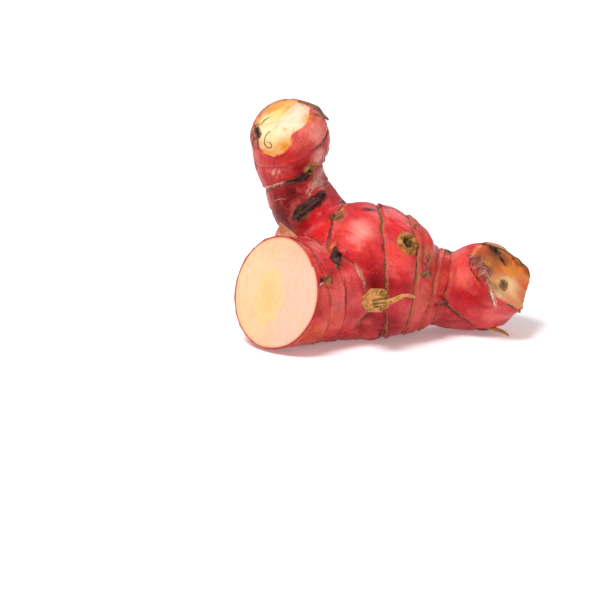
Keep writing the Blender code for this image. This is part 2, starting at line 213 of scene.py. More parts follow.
# The light: a glowing white card below, a white room, and soft lights with place, size in metres and watts.
WHITE = (1.0, 1.0, 1.0, 1.0)
CARD_HALF = 3.0  # half the card's width, in metres
CARD_GLOW = 0.20
FAR_GLOW = 0.90  # the card's glow far from the root, where the lamps no longer reach
FAR = (0.28, 0.75)  # it grows between these distances, in metres
LIGHT_AIM = (0, 0, 0.02)  # in metres
ROOM_LIGHT = 0.22
LIGHTS = [
    ("key", (-0.20, -0.28, 0.60), 0.26, 4.6),
    ("fill", (0.55, -0.50, 0.35), 0.60, 0.5),
    ("back", (0.25, 0.50, 0.45), 0.40, 1.4),
]

# The knife cut: the skin's thickness, and the middle, half width and half height of the yellow core.
SKIN_THICKNESS = 0.40
CORE_PLACE = (-1.5, -2.0)
CORE_SIZE = (5.4, 8.4)

# Stains as seen: x and y of the middle, half the length and half the width in millimetres, and the length's
# turn in degrees, anticlockwise from the picture's right. Among the pale ones, those on the neck's right side
# are painted highlights.
STAINS = {
    "black": [
        (303, 209.5, 3.2, 1.8, 36),
        (313, 202.5, 3.4, 1.8, 33),
        (321, 196, 2.2, 1.5, 50),
        (297.5, 214.5, 1.8, 1.2, 45),
        (297, 180.8, 3.6, 0.7, 14),
        (304.5, 178, 2.1, 1.0, 22),
        (293, 192.5, 1.0, 0.4, 15),
        (309, 173, 1.0, 0.3, 40),
        (313.5, 167.5, 1.0, 0.3, 60),
        (257.4, 130.5, 1.8, 0.8, 98),
        (254, 164, 1.0, 0.2, 100),
        (368.5, 209, 2.1, 0.4, 0),
        (343, 202, 1.4, 0.3, 20),
        (336.5, 256.5, 2.8, 1.4, 105),
        (333.4, 217, 1.3, 0.3, 80),
        (516, 259.5, 1.3, 0.3, -36),
        (321.5, 282.5, 1.0, 0.4, 90),
        (382, 205, 0.7, 0.4, 0),
        (383.3, 245, 1.1, 0.3, 85),
        (407.5, 215.5, 0.6, 0.3, 40),
        (416.5, 225, 0.6, 0.3, 45),
        (449, 248.6, 1.2, 0.6, 10),
        (446, 302, 1.2, 0.5, 120),
        (495, 249, 2.1, 0.9, -30),
        (503.5, 260, 1.5, 0.6, -52),
        (484.5, 243.8, 1.1, 0.3, -8),
        (529.5, 270.5, 1.4, 0.3, 100),
        (523, 264, 1.0, 0.3, -38),
        (474.5, 274, 2.4, 0.2, -62),
        (380, 335, 0.7, 0.3, 60),
        (328.6, 231, 2.0, 0.3, 80),
        (331, 221.5, 1.4, 0.2, 100),
    ],
    "cork": [
        (338, 216.3, 2.0, 1.8, 0),
        (341.5, 206.5, 1.4, 0.4, 60),
        (338, 265, 1.3, 0.8, 105),
        (328, 280, 1.8, 1.1, 80),
        (331, 271, 0.7, 0.4, 60),
        (303.5, 217.5, 1.7, 0.5, 35),
        (311.5, 169.5, 2.1, 1.2, 50),
        (426, 274, 1.8, 1.1, 0),
        (423, 254, 2.0, 0.4, 80),
        (317, 115.5, 1.4, 0.6, -35),
        (381.3, 220, 3.4, 0.5, 88),
        (448.5, 250.8, 1.3, 1.0, 10),
        (517, 262.5, 1.3, 0.3, -32),
        (504.2, 284, 1.8, 1.5, 80),
        (411.5, 240, 1.3, 1.1, 0),
        (492, 297, 2.2, 0.6, -68),
        (505, 326, 0.8, 0.3, 50),
    ],
    "orange": [
        (275, 107.5, 2.5, 0.5, 26),
        (288, 107, 1.5, 0.3, 42),
        (309.8, 118, 1.3, 0.6, 75),
        (284.5, 146.5, 1.3, 1.2, 50),
        (291.5, 137, 1.4, 0.3, 75),
        (284, 128.5, 0.6, 0.4, 0),
        (268, 153, 1.7, 0.3, -12),
        (404, 247, 1.7, 0.6, 115),
        (410, 252.3, 1.3, 0.3, 10),
        (332, 246, 1.4, 0.3, 60),
        (343.5, 207.5, 1.1, 0.2, 50),
        (489, 262, 1.4, 0.5, -35),
        (514, 270, 1.7, 0.7, -40),
        (476, 280, 1.0, 0.2, -60),
    ],
    "pale": [
        # painted highlight streaks down the neck's right side
        (317.5, 181, 3.1, 0.3, 60),
        (312.5, 184, 2.2, 0.2, 56),
        (322, 173, 2.0, 0.3, 62),
        (266, 188.2, 0.7, 0.2, 8),
        (272.5, 187.4, 0.7, 0.2, 5),
        (280, 184.6, 0.9, 0.2, 22),
        (273, 173, 0.7, 0.2, 62),
        (278, 173.5, 0.8, 0.2, 72),
        (492.8, 294, 1.8, 0.3, -68),
        (495.6, 303, 1.1, 0.3, -80),
        (321.4, 284.3, 0.4, 0.2, 30),
        # more painted highlight on the neck's right side
        (316.5, 165.5, 1.1, 0.3, 60),
        (309, 168, 0.7, 0.2, 20),
        (360, 275, 2.0, 0.2, -62),
    ],
    "plum": [
        (478, 262, 2.7, 1.8, -35),
        (483, 270, 2.5, 1.8, -62),
        (486.5, 279.5, 1.7, 1.0, -50),
        (472, 257, 1.3, 0.7, -20),
        (487, 272, 1.7, 1.4, -50),
        (428, 262, 2.8, 0.7, 85),
        (254.4, 137, 3.6, 1.2, 98),
    ],
}

# Shades of the skin as seen: x and y of the middle, reach in millimetres and the colour. With the skin's own
# colours they paint light: painted shade on the neck, in the hollow between the branch and the body and under
# the body, and painted highlights on the body's top, the knob's right side and the branch.
SKIN_RED = "#C8353A"
BARE_BUFF = "#D8945A"
TINTS_AND_PAINTED_LIGHT = [
    # painted shade darkening the neck's lower part, over its own deep crimson
    (288, 205, 3.9, "#560006"),
    (280, 216, 2.8, "#4A0006"),
    (291, 223, 2.5, "#520006"),
    (275, 197, 2.5, "#6E0410"),
    (295, 193, 2.5, "#6A0810"),
    (267, 181, 2.2, "#B02628"),
    (284, 175, 2.2, "#B4222A"),
    (301, 171, 2.0, "#9C1E28"),
    (263, 166, 2.2, "#C23A34"),
    (286, 160, 2.5, "#C62A28"),
    (306, 151, 2.2, "#C83A38"),
    # the knob's right side: its salmon colour with a painted highlight, and pale painted highlight down its
    # right edge
    (318, 134, 2.5, "#F29A88"),
    (322, 121, 2.0, "#E87A6C"),
    (308, 129, 2.0, "#EE8878"),
    (300, 143, 2.0, "#E26A5E"),
    (319, 156, 1.7, "#E8ACA0"),
    (325, 166, 1.7, "#DCB0AC"),
    (330, 190, 2.0, "#B84048"),
    (321, 180, 1.7, "#DCA8A0"),
    (256, 158, 1.7, "#C84840"),
    (316, 216, 2.2, "#CC1620"),
    (320, 230, 2.8, "#DC2222"),
    (305, 230, 2.0, "#A80E18"),
    # a painted highlight on the body's top
    (361, 229, 2.5, "#F89C8C"),
    (347, 233, 2.5, "#E2463E"),
    (376, 222, 2.2, "#E04A44"),
    (362, 213, 2.0, "#D63034"),
    (398, 222, 3.1, "#DE1E26"),
    (363, 250, 2.5, "#E04038"),
    # painted shade in the hollow where the branch meets the body
    (366, 264, 2.5, "#B81C22"),
    (376, 278, 2.5, "#7E0610"),
    (399, 262, 2.5, "#EC5048"),
    (399, 278, 2.5, "#C2262C"),
    (404, 300, 2.8, "#B8343C"),
    # painted shade under the body and along the same hollow
    (385, 325, 3.4, "#7E1020"),
    (369, 267, 1.5, "#8E0C14"),
    (373, 285, 1.5, "#740610"),
    (371, 318, 1.5, "#7E1018"),
    (361, 331, 1.5, "#8C1C1C"),
    (353, 268, 1.4, "#C84048"),
    (358, 284, 1.4, "#CE4A50"),
    (362, 308, 1.4, "#B83A40"),
    # painted shade below the body's middle
    (391, 284, 1.7, "#A81A22"),
    (404, 318, 2.2, "#A4242E"),
    (396, 250, 2.0, "#E64A40"),
    (427, 240, 2.2, "#DA3A2C"),
    (430, 255, 2.0, "#E0805C"),
    (425, 300, 2.5, "#D86050"),
    (436, 284, 2.2, "#DC6450"),
    (432, 318, 2.2, "#C04444"),
    (446, 275, 2.0, "#D84A40"),
    (460, 262, 2.5, "#E85450"),
    (458, 252, 2.0, "#E8786C"),
    (464, 278, 2.2, "#E86C60"),
    (466, 294, 2.5, "#A80410"),
    (479, 302, 2.5, "#AC0A12"),
    (461, 307, 2.0, "#B82430"),
    (492, 318, 2.5, "#D4605C"),
    (478, 314, 2.2, "#C84248"),
    (455, 324, 2.5, "#A83A44"),
    (447, 316, 2.0, "#A02A34"),
    (480, 246, 2.0, "#E04438"),
    (508, 316, 2.0, "#D86A64"),
    (341, 290, 2.5, "#DC6460"),
    (356, 300, 2.2, "#CE5A5C"),
    (335, 320, 2.8, "#CE5242"),
    (312, 336, 3.4, "#D05E38"),
    (322, 300, 2.5, "#D05048"),
    (316, 262, 2.0, "#C83236"),
    (352, 280, 2.2, "#C42C36"),
    (340, 306, 2.2, "#DC7068"),
    (356, 318, 2.2, "#B43A3C"),
    (306, 246, 1.7, "#D45A4C"),
    (322, 246, 1.7, "#CE5C54"),
    (345, 262, 2.0, "#BC2430"),
    # painted shade in the crease between the branch and the body
    (370, 299, 1.3, "#66060C"),
    (367, 309, 1.1, "#6E0A10"),
    (360, 325, 1.3, "#741212"),
    # a painted highlight on the branch's bulge
    (347, 276, 1.4, "#E86C62"),
]

# The same for the healed ends' bare patches.
BARE_TINTS = [
    (289, 124, 3.4, "#EBDDC0"),
    (300, 110, 2.4, "#E8D6C0"),
    (279, 112, 2.0, "#EED078"),
    (285, 104, 1.6, "#DDB25A"),
    (266, 120, 1.8, "#EFDA9C"),
    (266, 130, 2.2, "#F2E2B4"),
    (268, 143, 2.0, "#E6C286"),
    (283, 144, 2.2, "#D9A050"),
    (276, 132, 2.2, "#EBDCB0"),
    (296, 131, 1.8, "#EAD6A8"),
    (291, 138, 1.4, "#D99A58"),
    (308, 117, 1.4, "#DBA050"),
    (272, 151, 1.4, "#D99C68"),
    (510, 284, 2.6, "#F4CE98"),
    (515, 292, 2.0, "#ECB080"),
    (500, 270, 2.0, "#D0682C"),
    (509, 270, 2.0, "#F08420"),
    (495, 253, 2.4, "#521006"),
    (484, 248, 2.4, "#B02A12"),
    (479, 256, 1.8, "#8E2420"),
    (506, 259, 2.0, "#8E2A04"),
    (515, 262, 1.8, "#E0660A"),
    (521, 269, 1.8, "#E46C10"),
    (527, 270, 1.4, "#802C10"),
    (525, 284, 1.8, "#D85434"),
    (521, 294, 1.8, "#D0543C"),
    (497, 297, 1.6, "#C8B08C"),
    (493, 288, 1.5, "#8A6A4C"),
    (512, 302, 1.8, "#E08468"),
    (489, 266, 2.0, "#702A24"),
    (497, 264, 1.6, "#A8481C"),
]

# Loose fibres that lie on the skin, as seen: colour, radius in millimetres, and the x and y that it passes.
# The pale ones down the neck's right side are partly a painted highlight.
FIBRES = [
    ("brown", 0.13, [(270.6, 130.2), (266, 134.5), (263.8, 140), (265, 145.4), (269, 148), (271.4, 146),
                     (269.5, 142.6), (265.8, 142)]),
    ("brown", 0.24, [(254.8, 124.7), (255.8, 132), (257.4, 140), (259.6, 149.3)]),
    ("brown", 0.24, [(328, 131), (327.3, 136), (322.5, 142.5), (315, 148.6), (308, 152.4)]),
    ("pale", 0.24, [(490.6, 289), (493, 297), (495.4, 305.5)]),
    ("pale", 0.18, [(319.6, 286), (321, 284), (323, 282.4)]),
    ("tan", 0.11, [(299, 235.9), (308, 236.8), (316.4, 239), (325, 247), (330.4, 253.6)]),
    ("brown", 0.15, [(290, 237), (305, 244.5), (316.4, 256), (323.4, 267), (326.2, 273)]),
    ("pale", 0.18, [(264.4, 188.4), (268, 188.1), (272, 187.5)]),
    ("pale", 0.18, [(274, 186.8), (278, 185.2), (283, 183.4)]),
    ("brown", 0.18, [(283, 184.4), (290, 183), (298, 182)]),
    ("tan", 0.08, [(286, 199.4), (280, 199), (274, 201.2)]),
    # pale threads down the neck's right side, partly a painted highlight
    ("pale", 0.08, [(311, 189), (315, 181.5), (320, 172.5)]),
    ("pale", 0.08, [(314.5, 189.5), (319, 181), (323.4, 172.5)]),
    ("pale", 0.08, [(308, 186.5), (313, 179.5), (317, 174)]),
    ("brown", 0.16, [(331, 224.5), (329.5, 231), (328.2, 238)]),
    ("tan", 0.10, [(354, 262), (359, 269), (363.6, 281), (366, 294)]),
    ("brown", 0.15, [(483, 244.6), (492, 246), (502, 248.4), (512, 254.6), (521, 261), (528, 266.5)]),
    ("brown", 0.30, [(463, 320), (471, 325), (478, 328.6), (488, 329.6), (497, 329)]),
    ("brown", 0.18, [(344, 204), (340.5, 209), (338, 212)]),
    ("brown", 0.22, [(506.4, 304), (511, 306.2), (515.6, 309)]),
    ("tan", 0.16, [(268, 104.8), (261.5, 111), (257.6, 118)]),
    ("brown", 0.13, [(269.5, 116), (264.5, 119.6), (259.8, 125)]),
    ("brown", 0.15, [(377.4, 331.5), (380.8, 331), (382.4, 333.8), (379.6, 336.6), (378.8, 338.6)]),
]

# The skin's mesh, drawn onto the smooth union of the limbs.
CROTCH = 0.7  # how softly one limb runs into the next
SPINE_STEP = 0.4  # spacing of the points that the skin is measured from
FOOT_STEPS = 3  # steps that find a point's place along a centreline
FOOT_DAMPING = 0.8  # and the share of each one that is taken
LEAST_SLOPE = 0.3  # keeps the steps onto the skin short where its field is flat
LIMB_GRID = (1.0, 64)  # spacing of the first tubes' rings, and points round each
SETTLING = (5, 3)  # steps onto the skin after each even meshing
SKIN_GRID = 0.42  # size of the skin's faces
HEALED_ENDS = ("shoot_scar", "bud_scar", "bud_top", "bud_side")
HEALED_REACH = 22.0  # a healed end is flattened this far round its place
CUT_REACH = 25.0  # the knife cut takes what is this near to its place
FLOOR_REACH = 200.0  # and the cut along the floor goes right across

# The grain runs along the limbs: its place across them is on a ball of this radius, moved on by this much for
# each millimetre along.
GRAIN_BALL = 12.0
GRAIN_RUN = 0.12

# Leaf scars, across their line: height and half width of the groove, of the lip and of the skin drawn in.
# Along the line they stray from the plane, and are higher here and lower there: by how much, and how long
# the waves are.
GROOVE = (-0.45, 0.5)
LIP = (0.35, 0.5)
LIP_PLACE = 0.9  # the lip's distance from the groove
DRAWN_IN = (-0.40, 2.6)
STRAY = (0.3, 9.0)
UNEVEN = (0.35, 5.0)
FADE = 2.0  # a scar fades out over the last of its reach
LIMB_SHARE = (0.3, 0.7)  # and where its limb's share in the skin falls through this range

# The corky band along a leaf scar: how far its edges and its width stray, and how long the waves are.
BAND_FRAY = (0.12, 2.5)
BAND_SWELL = (0.45, 11.0)
BAND_NEAR = 1.6  # width of the strip that counts as near the scar
BAND_CLOSE = (0.35, 0.6)  # nearness at which the band begins and is whole
BAND_LIMIT = 6  # half bands; how far past its middle a point is isn't counted further
BAND_DRY = (1.5, 0.7)  # the skin is dry to this many half bands, and the softness of that
TAN_ZONE = (0.5, 2.8)  # middle and width of the tan skin beside the scar

# Root scars, in parts of their radius.
RIM_PLACE = 0.8
RIM_WIDTH = 0.28
PIT_WALL = (0.2, 0.75)
SCAR_REACH = 3.0  # how far off a point is isn't counted further
SCAR_SIZE = 2  # the radius in millimetres, where a rough one is enough
RIM_ROUGH = (0.3, 0.9)  # unevenness of the rim, and the size of its lumps in millimetres
CORKY_RIM = (0.3, 0.5)  # a rim of this height in millimetres begins to be corky, and is wholly so
RIM_EDGE = 1.3  # the rim's colour ends here
PIT_EDGE = 0.55  # and the pit's here

# The bare patch of a healed end.
PATCH_SIDE = 0.7  # a millimetre down the side of an end counts as this much outwards
PATCH_RAGGED = (0.4, 3.0)  # how far its edge strays, and how long the waves are
PATCH_CURL = (0.25, 0.5)  # height and width of the skin that curls up round it
CURL_PLACE = 0.5  # the curl's distance from the edge
PATCH_STEP = (-0.5, 0.3)  # the skin steps down over this, from the edge
PATCH_SINK = 0.35  # depth of the patch below the skin
PATCH_LUMPS = (0.07, 1.5)  # height and size of its lumps
PATCH_EDGE = 0.3  # softness of its edge
KNOB_DRYNESS = 0.7  # the knob's patch is this dry, the end bud's wholly

# Stains: the corky ones are raised, by this much and with lumps of this height and size.
CORKY = ("black", "cork", "plum")
CRUST = (0.12, 0.18, 1.1)
STAIN_EDGE = 0.35  # softness of their edges
STAIN_DEPTH = 2.5  # a stain reaches this many of its half lengths into the picture
FARTHEST = 4.0  # stains and patches are measured up to this far from their edges
PLAIN_WEIGHT = 0.25  # weight of the plain colour where shades overlap, each with a weight up to one

# The back isn't seen, so corky patches are scattered there, where lumpy noise is high: how far a point is
# past one with no noise, how much that wanders, and the size and the seed of the noise.
BACK_PATCHES = {"cork": (2.2, 3.6, 5.6, 31), "black": (2.9, 3.6, 5.2, 32)}
BACK = (1.0, 6.0)  # they come in over these depths
FRONT_CLEAR = 3.0  # in front of that, every point is this much farther from them

# Small relief all over the skin: height, size and seed of its lumps, and of its wrinkles along the grain.
LUMPS = [(0.10, 3.2, 7), (0.05, 1.3, 8)]
WRINKLES = [(0.05, 2.4, 9), (0.03, 1.3, 10)]

# The cut's flesh: a grid of rings round the middle of the cut.
FLESH_RINGS = 60
FLESH_AROUND = 180
HALVINGS = 14  # they find its rim to under two microns
FLESH_MIDDLE = 0.015  # share of the quarter turn at which the first ring is
FLESH_OUT = 0.06  # it stands out of the cut by this
FLESH_SWELL = 0.30  # and by this much more in the middle
FLESH_RIPPLE = 0.10  # how far its rim strays
FLESH_ROLL = 0.98  # share of the rim from which the front is smooth
FLESH_BACK = [(1.0, -0.2), (0.97, -0.9), (0.6, -0.9), (0.05, -0.9)]  # share and height of the rings behind
FIBRE_ENDS = (0.035, 0.8)  # height and size of the fibres' cut ends
KNIFE_STEPS = (0.03, 1.3, 0.2)  # height of the knife's steps, and radians for a millimetre up and across

# The root stub: waves round it have a height, a count, a twist with each ring and a start.
STUB_GRID = (0.3, 56)  # spacing of its rings, and points round each
STUB_RIDGES = [(0.05, 7, 0.05, 0), (0.035, 13, -0.08, 2)]
STUB_CLEFTS = [(0.16, 3.9, 0.22), (0.12, 1.1, 0.20)]  # depth, turn and width
STUB_LUMPS = (0.16, 1.1)  # height and size
STUB_FRAY = [(0.35, 4, 0, 0), (0.3, 9, 0, 1), (0.2, 17, 0, 0)]
STUB_FRAYED = (9, 4)  # the fray begins this many rings from the end, and is whole after this many
# The rings that close its end: share of the radius, and how far out of the end, or into it.
STUB_HOLLOW = [(0.93, 0.25), (0.80, 0.15), (0.58, -0.25), (0.34, -0.6), (0.08, -0.7)]

# Dry strands and flat scales.
STRAND_GRID = (0.25, 20)  # spacing of the rings, and points round each
STRAND_FOLDS = [(0.16, 3, 0.12), (0.08, 7, -0.2)]  # waves round them: height, count and twist
STRAND_LUMPS = (0.12, 0.9)  # height and size

# The papery scale.
PAPER = 0.28  # its thickness
PAPER_TIP = 4  # the point of its outline that is its tip
PAPER_GRID = (24, 25)  # rows up to the tip, and points across
PAPER_STEP = 0.4  # spacing of the points along its edges
PAPER_BOW = 0.9  # it bows to the front by this
PAPER_RIPPLES = [(0.12, 26, 3), (0.15, 11, 0)]  # height, and radians across it and up it
PAPER_BEHIND = 0.8  # it stays this far behind the cut

# Loose fibres.
FIBRE_GRID = (0.35, 8)  # spacing of the rings, and points round each
FIBRE_TIP = 0.35  # share of the radius that is left at the ends
FIBRE_LIFT = 0.5  # height of its middle above the skin, in radii
FIBRE_WAVE = (0.05, 17)  # how far that wanders, and radians from end to end
FIBRE_STEPS = 3  # steps that draw its path onto the skin

# Torn ends of leaf sheaths.
SHREDS = 150
SHRED_BAND = (0.85, 0.4, 0.7)  # they grow on skin this near a scar, this brown and within these half bands
SHRED_FLOOR = 1.5  # and this high above the floor
SHRED_LENGTH = (0.5, 1.5)
SHRED_RADIUS = (0.08, 0.17)
SHRED_TAPER = (0.25, 2.6)  # the radius follows a sine from this turn, over this many radians
SHRED_LEAN = (0.05, 0.5)  # how far it leans out of the skin
SHRED_SUNK = 0.12  # how deep its foot is in the skin
SHRED_BEND = (0.15, 3)  # how far it curves sideways, and over how many radians
SHRED_LINE = (2.5, 0.9, 0.4)  # it lies along the skin within this reach, this near the scar and half bands
SHRED_GRID = (6, 5)  # rings, and points round each
SHRED_FLATNESS = 0.5

# The finish of the living skin.
SKIN_ROUGHNESS = (0.34, 0.66)  # where it is waxy, and where it is dry
CRUST_BUMPS = (0.03, 0.12)  # height of the fine bumps on waxy skin, and how much more there is on dry


def spine(stations, step):
    """A limb's centreline and radius: a Catmull-Rom curve through its stations, sampled about every step."""
    points = np.array(stations, float)
    ends = np.vstack([2 * points[0] - points[1], points, 2 * points[-1] - points[-2]])
    samples = []
    for i in range(1, len(ends) - 2):
        before, here, after, beyond = ends[i - 1 : i + 3]
        count = max(2, round(np.linalg.norm(after[:3] - here[:3]) / step))
        t = np.arange(count)[:, None] / count
        bend = 2 * before - 5 * here + 4 * after - beyond
        twist = 3 * here - before - 3 * after + beyond
        samples.append(0.5 * (2 * here + (after - before) * t + bend * t**2 + twist * t**3))
    samples.append(points[-1:])
    return np.vstack(samples)


def length(vectors):
    return np.linalg.norm(vectors, axis=-1)


def unit(vectors):
    vectors = np.array(vectors, float)
    return vectors / np.maximum(length(vectors), 1e-9)[..., None]


class Limb:
    """The skin of one limb: rings square to its centreline, with half a ball over each end."""

    def __init__(self, stations):
        line = spine(stations, SPINE_STEP)
        along = np.gradient(line[:, :3], axis=0)
        step = length(along)
        taper = np.gradient(line[:, 3]) / step
        taper[[0, -1]] = 0
        place = np.concatenate([[0], np.cumsum(length(np.diff(line[:, :3], axis=0)))])
        self.table = np.column_stack([line, along / step[:, None], taper, place, step])

    def at(self, index):
        """The centreline's values at whole and part indices."""
        low = np.minimum(index.astype(int), len(self.table) - 2)
        part = (index - low)[:, None]
        row = self.table[low] * (1 - part) + self.table[low + 1] * part
        return row[:, :3], row[:, 3], row[:, 4:7], row[:, 7], row[:, 8], row[:, 9]

    def measure(self, points):
        """How far each point is outside the limb, the slope of that, its place along it and its way out.

        Damped steps lead from the nearest sample of the centreline to the foot of the perpendicular."""
        line = self.table[:, :3]
        index = ((line**2).sum(axis=1) - 2 * points @ line.T).argmin(axis=1).astype(float)
        for _ in range(FOOT_STEPS):
            centre, _, along, _, _, step = self.at(index)
            slip = ((points - centre) * along).sum(axis=1) / step
            index = np.clip(index + FOOT_DAMPING * np.clip(slip, -1, 1), 0, len(line) - 1)
        centre, radius, along, taper, place, _ = self.at(index)
        out = points - centre
        apart = length(out)
        out /= np.maximum(apart, 1e-6)[:, None]
        return apart - radius, out - taper[:, None] * along, place, out


SKINS = {name: Limb(stations) for name, stations in LIMBS.items()}


def smooth_union(points):
    """How far each point is outside the root, the slope of that, each limb's share in it, and the grain."""
    found = [limb.measure(points) for limb in SKINS.values()]
    gaps = np.array([f[0] for f in found])
    lowest = gaps.min(axis=0)
    share = np.exp((lowest - gaps) / CROTCH)
    total = share.sum(axis=0)
    share /= total
    slope = sum(s[:, None] * f[1] for s, f in zip(share, found))
    grain = sum(s[:, None] * (GRAIN_BALL * f[3] + GRAIN_RUN * f[2][:, None]) for s, f in zip(share, found))
    return lowest - CROTCH * np.log(total), slope, dict(zip(SKINS, share)), grain


def flattened(points, value, slope, place, facing, edge):
    """The root's field with a healed end taken off it as a flat with soft edges."""
    over = (points - np.array(place)) @ unit(facing)
    top, low = np.maximum(value, over), np.minimum(value, over)
    soft = top + edge * np.log1p(np.exp((low - top) / edge))
    near = length(points - np.array(place)) < HEALED_REACH
    mix = near / (1 + np.exp(np.clip((value - over) / edge, -50, 50)))
    return np.where(near, soft, value), slope * (1 - mix)[:, None] + unit(facing) * mix[:, None]


def field(points):
    value, slope, share, grain = smooth_union(points)
    for end in HEALED_ENDS:
        value, slope = flattened(points, value, slope, *FLATS[end])
    return value, slope, share, grain


def settle(points, steps):
    """The points drawn onto the surface of the field."""
    for _ in range(steps):
        value, slope, _, _ = field(points)
        points = points - (value / np.maximum((slope**2).sum(axis=1), LEAST_SLOPE))[:, None] * slope
    return points


def smooth_step(low, high, value):
    t = np.clip((value - low) / (high - low), 0, 1)
    return t * t * (3 - 2 * t)


def bell(value, width):
    return np.exp(-((value / width) ** 2))


def waver(points, size, seed):
    """A soft wandering value between about -1 and 1: six waves in random directions, as long as size."""
    chance = np.random.default_rng(seed)
    total = np.zeros(len(points))
    for _ in range(6):
        way = unit(chance.normal(size=3)) * chance.uniform(0.7, 1.4) * 2 * math.pi / size
        total += np.sin(points @ way + chance.uniform(0, 2 * math.pi))
    return total / 2.5


def lumps(points, size, seed):
    """Noise between -1 and 1: random values on a lattice, with smooth steps between its corners."""
    count = 32
    lattice = np.random.default_rng(seed).uniform(-1, 1, (count, count, count))
    spot = points / size
    low = np.floor(spot).astype(int)
    part = spot - low
    part = part * part * (3 - 2 * part)
    total = np.zeros(len(points))
    for corner in np.ndindex(2, 2, 2):
        weight = np.prod(np.where(corner, part, 1 - part), axis=1)
        total += weight * lattice[tuple(((low + corner) % count).T)]
    return total


def leaf_scars(points, share):
    """The leaf scars' height, how each point lies to the nearest one, and how tan the skin is beside it.

    A scar is a groove with a lip on its tip side, and the skin is drawn in on both sides of it. The marks
    are how many half bands past its middle the point is, how brown the scar is there, and how near it is."""
    height = np.zeros(len(points))
    marks = np.zeros((len(points), 3))
    zone = np.zeros(len(points))
    stray = STRAY[0] * waver(points, STRAY[1], seed=1)
    uneven = 1 + UNEVEN[0] * waver(points, UNEVEN[1], seed=2)
    fray = BAND_FRAY[0] * waver(points, BAND_FRAY[1], seed=4)
    swell = 1 + BAND_SWELL[0] * waver(points, BAND_SWELL[1], seed=13)
    for limbs, middle, facing, reach, strength, band, brown, tan in RINGS:
        beyond = (points - np.array(middle)) @ unit(facing) + stray
        here = smooth_step(*LIMB_SHARE, sum(share[limb] for limb in limbs))
        here *= 1 - smooth_step(reach - FADE, reach, length(points - np.array(middle)))
        groove = GROOVE[0] * bell(beyond, GROOVE[1])
        lip = LIP[0] * bell(beyond - LIP_PLACE, LIP[1])
        drawn_in = DRAWN_IN[0] * bell(beyond, DRAWN_IN[1])
        height += strength * here * ((groove + lip) * uneven + drawn_in)
        near = here * bell(beyond, BAND_NEAR)
        close = smooth_step(*BAND_CLOSE, near)
        nearer = near > marks[:, 2]
        side = np.clip((beyond + fray) / (band * swell), -BAND_LIMIT, BAND_LIMIT)
        found = np.column_stack([side, close * brown, near])
        marks = np.where(nearer[:, None], found, marks)
        zone = np.maximum(zone, here * tan * bell(beyond - TAN_ZONE[0], TAN_ZONE[1]))
    return height, marks, zone


def root_scars(points):
    """The root scars' height, how many radii each point is from the nearest one, and how corky that is."""
    height = np.zeros(len(points))
    nearest = np.full(len(points), SCAR_REACH)
    corky = np.zeros(len(points))
    rough = 1 + RIM_ROUGH[0] * lumps(points, RIM_ROUGH[1], seed=5)
    for place, radius, rim, depth in ROOT_SCARS:
        off = length(points - np.array(place)) / radius
        height += rough * rim * bell(off - RIM_PLACE, RIM_WIDTH) - depth * (1 - smooth_step(*PIT_WALL, off))
        nearer = off < nearest
        nearest = np.where(nearer, off, nearest)
        corky = np.where(nearer, smooth_step(*CORKY_RIM, rim) if depth > 0 else 0, corky)
    return height, nearest, corky


def end_plane(end):
    """The plane of a flat end: a point on it, the way it faces, and its right and its up."""
    place, facing = np.array(FLATS[end][0]), unit(FLATS[end][1])
    right = unit(np.cross((0, 0, 1), facing))
    return place, facing, right, np.cross(facing, right)


def past_patch(points, end):
    """How far each point is outside the bare patch of a healed end, in its plane and down its sides."""
    place, facing, right, up = end_plane(end)
    middle, radius, *waves = PATCHES[end]
    x = (points - place) @ right - middle[0]
    y = (points - place) @ up - middle[1]
    turn = np.arctan2(y, x)
    for count, (cosine, sine) in enumerate(waves, 1):
        radius = radius + cosine * np.cos(count * turn) + sine * np.sin(count * turn)
    down_side = np.maximum(0, (place - points) @ facing)
    ragged = PATCH_RAGGED[0] * waver(points, PATCH_RAGGED[1], seed=3)
    return np.minimum(np.hypot(x, y) + PATCH_SIDE * down_side - radius - ragged, FARTHEST)


def camera_axes():
    """The picture's right, its up and the way back to the camera, as rows."""
    sine, cosine = math.sin(CAMERA_TILT), math.cos(CAMERA_TILT)
    return np.array([(1, 0, 0), (0, sine, cosine), (0, -cosine, sine)])


def camera_eye():
    return np.array(CAMERA_AIM) + CAMERA_DISTANCE * camera_axes()[2]


def seen_place(tree, x, y):
    """The place on the skin that the camera sees at a picture point, or else at the nearest one with skin."""
    eye = camera_eye()
    for reach in np.arange(0, *SEARCH):
        for turn in turns(SEARCH_WAYS):
            across = (x + reach * math.cos(turn) - PICTURE / 2) * MM_PER_PIXEL
            up = (PICTURE / 2 - y - reach * math.sin(turn)) * MM_PER_PIXEL
            sight = np.array([across, up, -CAMERA_DISTANCE]) @ camera_axes()
            place = tree.ray_cast(Vector(eye), Vector(sight))[0]
            if place is not None:
                return np.array(place)
    raise ValueError(f"no skin is seen near {x}, {y}")


def past_stains(points, tree, stains):
    """How far each point is past the edge of the nearest stain.

    A stain is an ellipsoid whose length and width lie in the picture's plane."""
    past = np.full(len(points), FARTHEST)
    for x, y, long, short, turn in stains:
        off = (points - seen_place(tree, x, y)) @ camera_axes().T
        cosine, sine = math.cos(math.radians(turn)), math.sin(math.radians(turn))
        along = off[:, 0] * cosine + off[:, 1] * sine
        across = off[:, 1] * cosine - off[:, 0] * sine
        deep = off[:, 2] / (STAIN_DEPTH * long)
        off = np.sqrt((along / long) ** 2 + (across / short) ** 2 + deep**2)
        past = np.minimum(past, (off - 1) * short)
    return past


def linear(colour):
    """An sRGB hex colour as linear red, green, blue and alpha."""
    parts = np.array([int(colour[i : i + 2], 16) / 255 for i in (1, 3, 5)])
    return (*np.where(parts <= 0.04045, parts / 12.92, ((parts + 0.055) / 1.055) ** 2.4), 1.0)


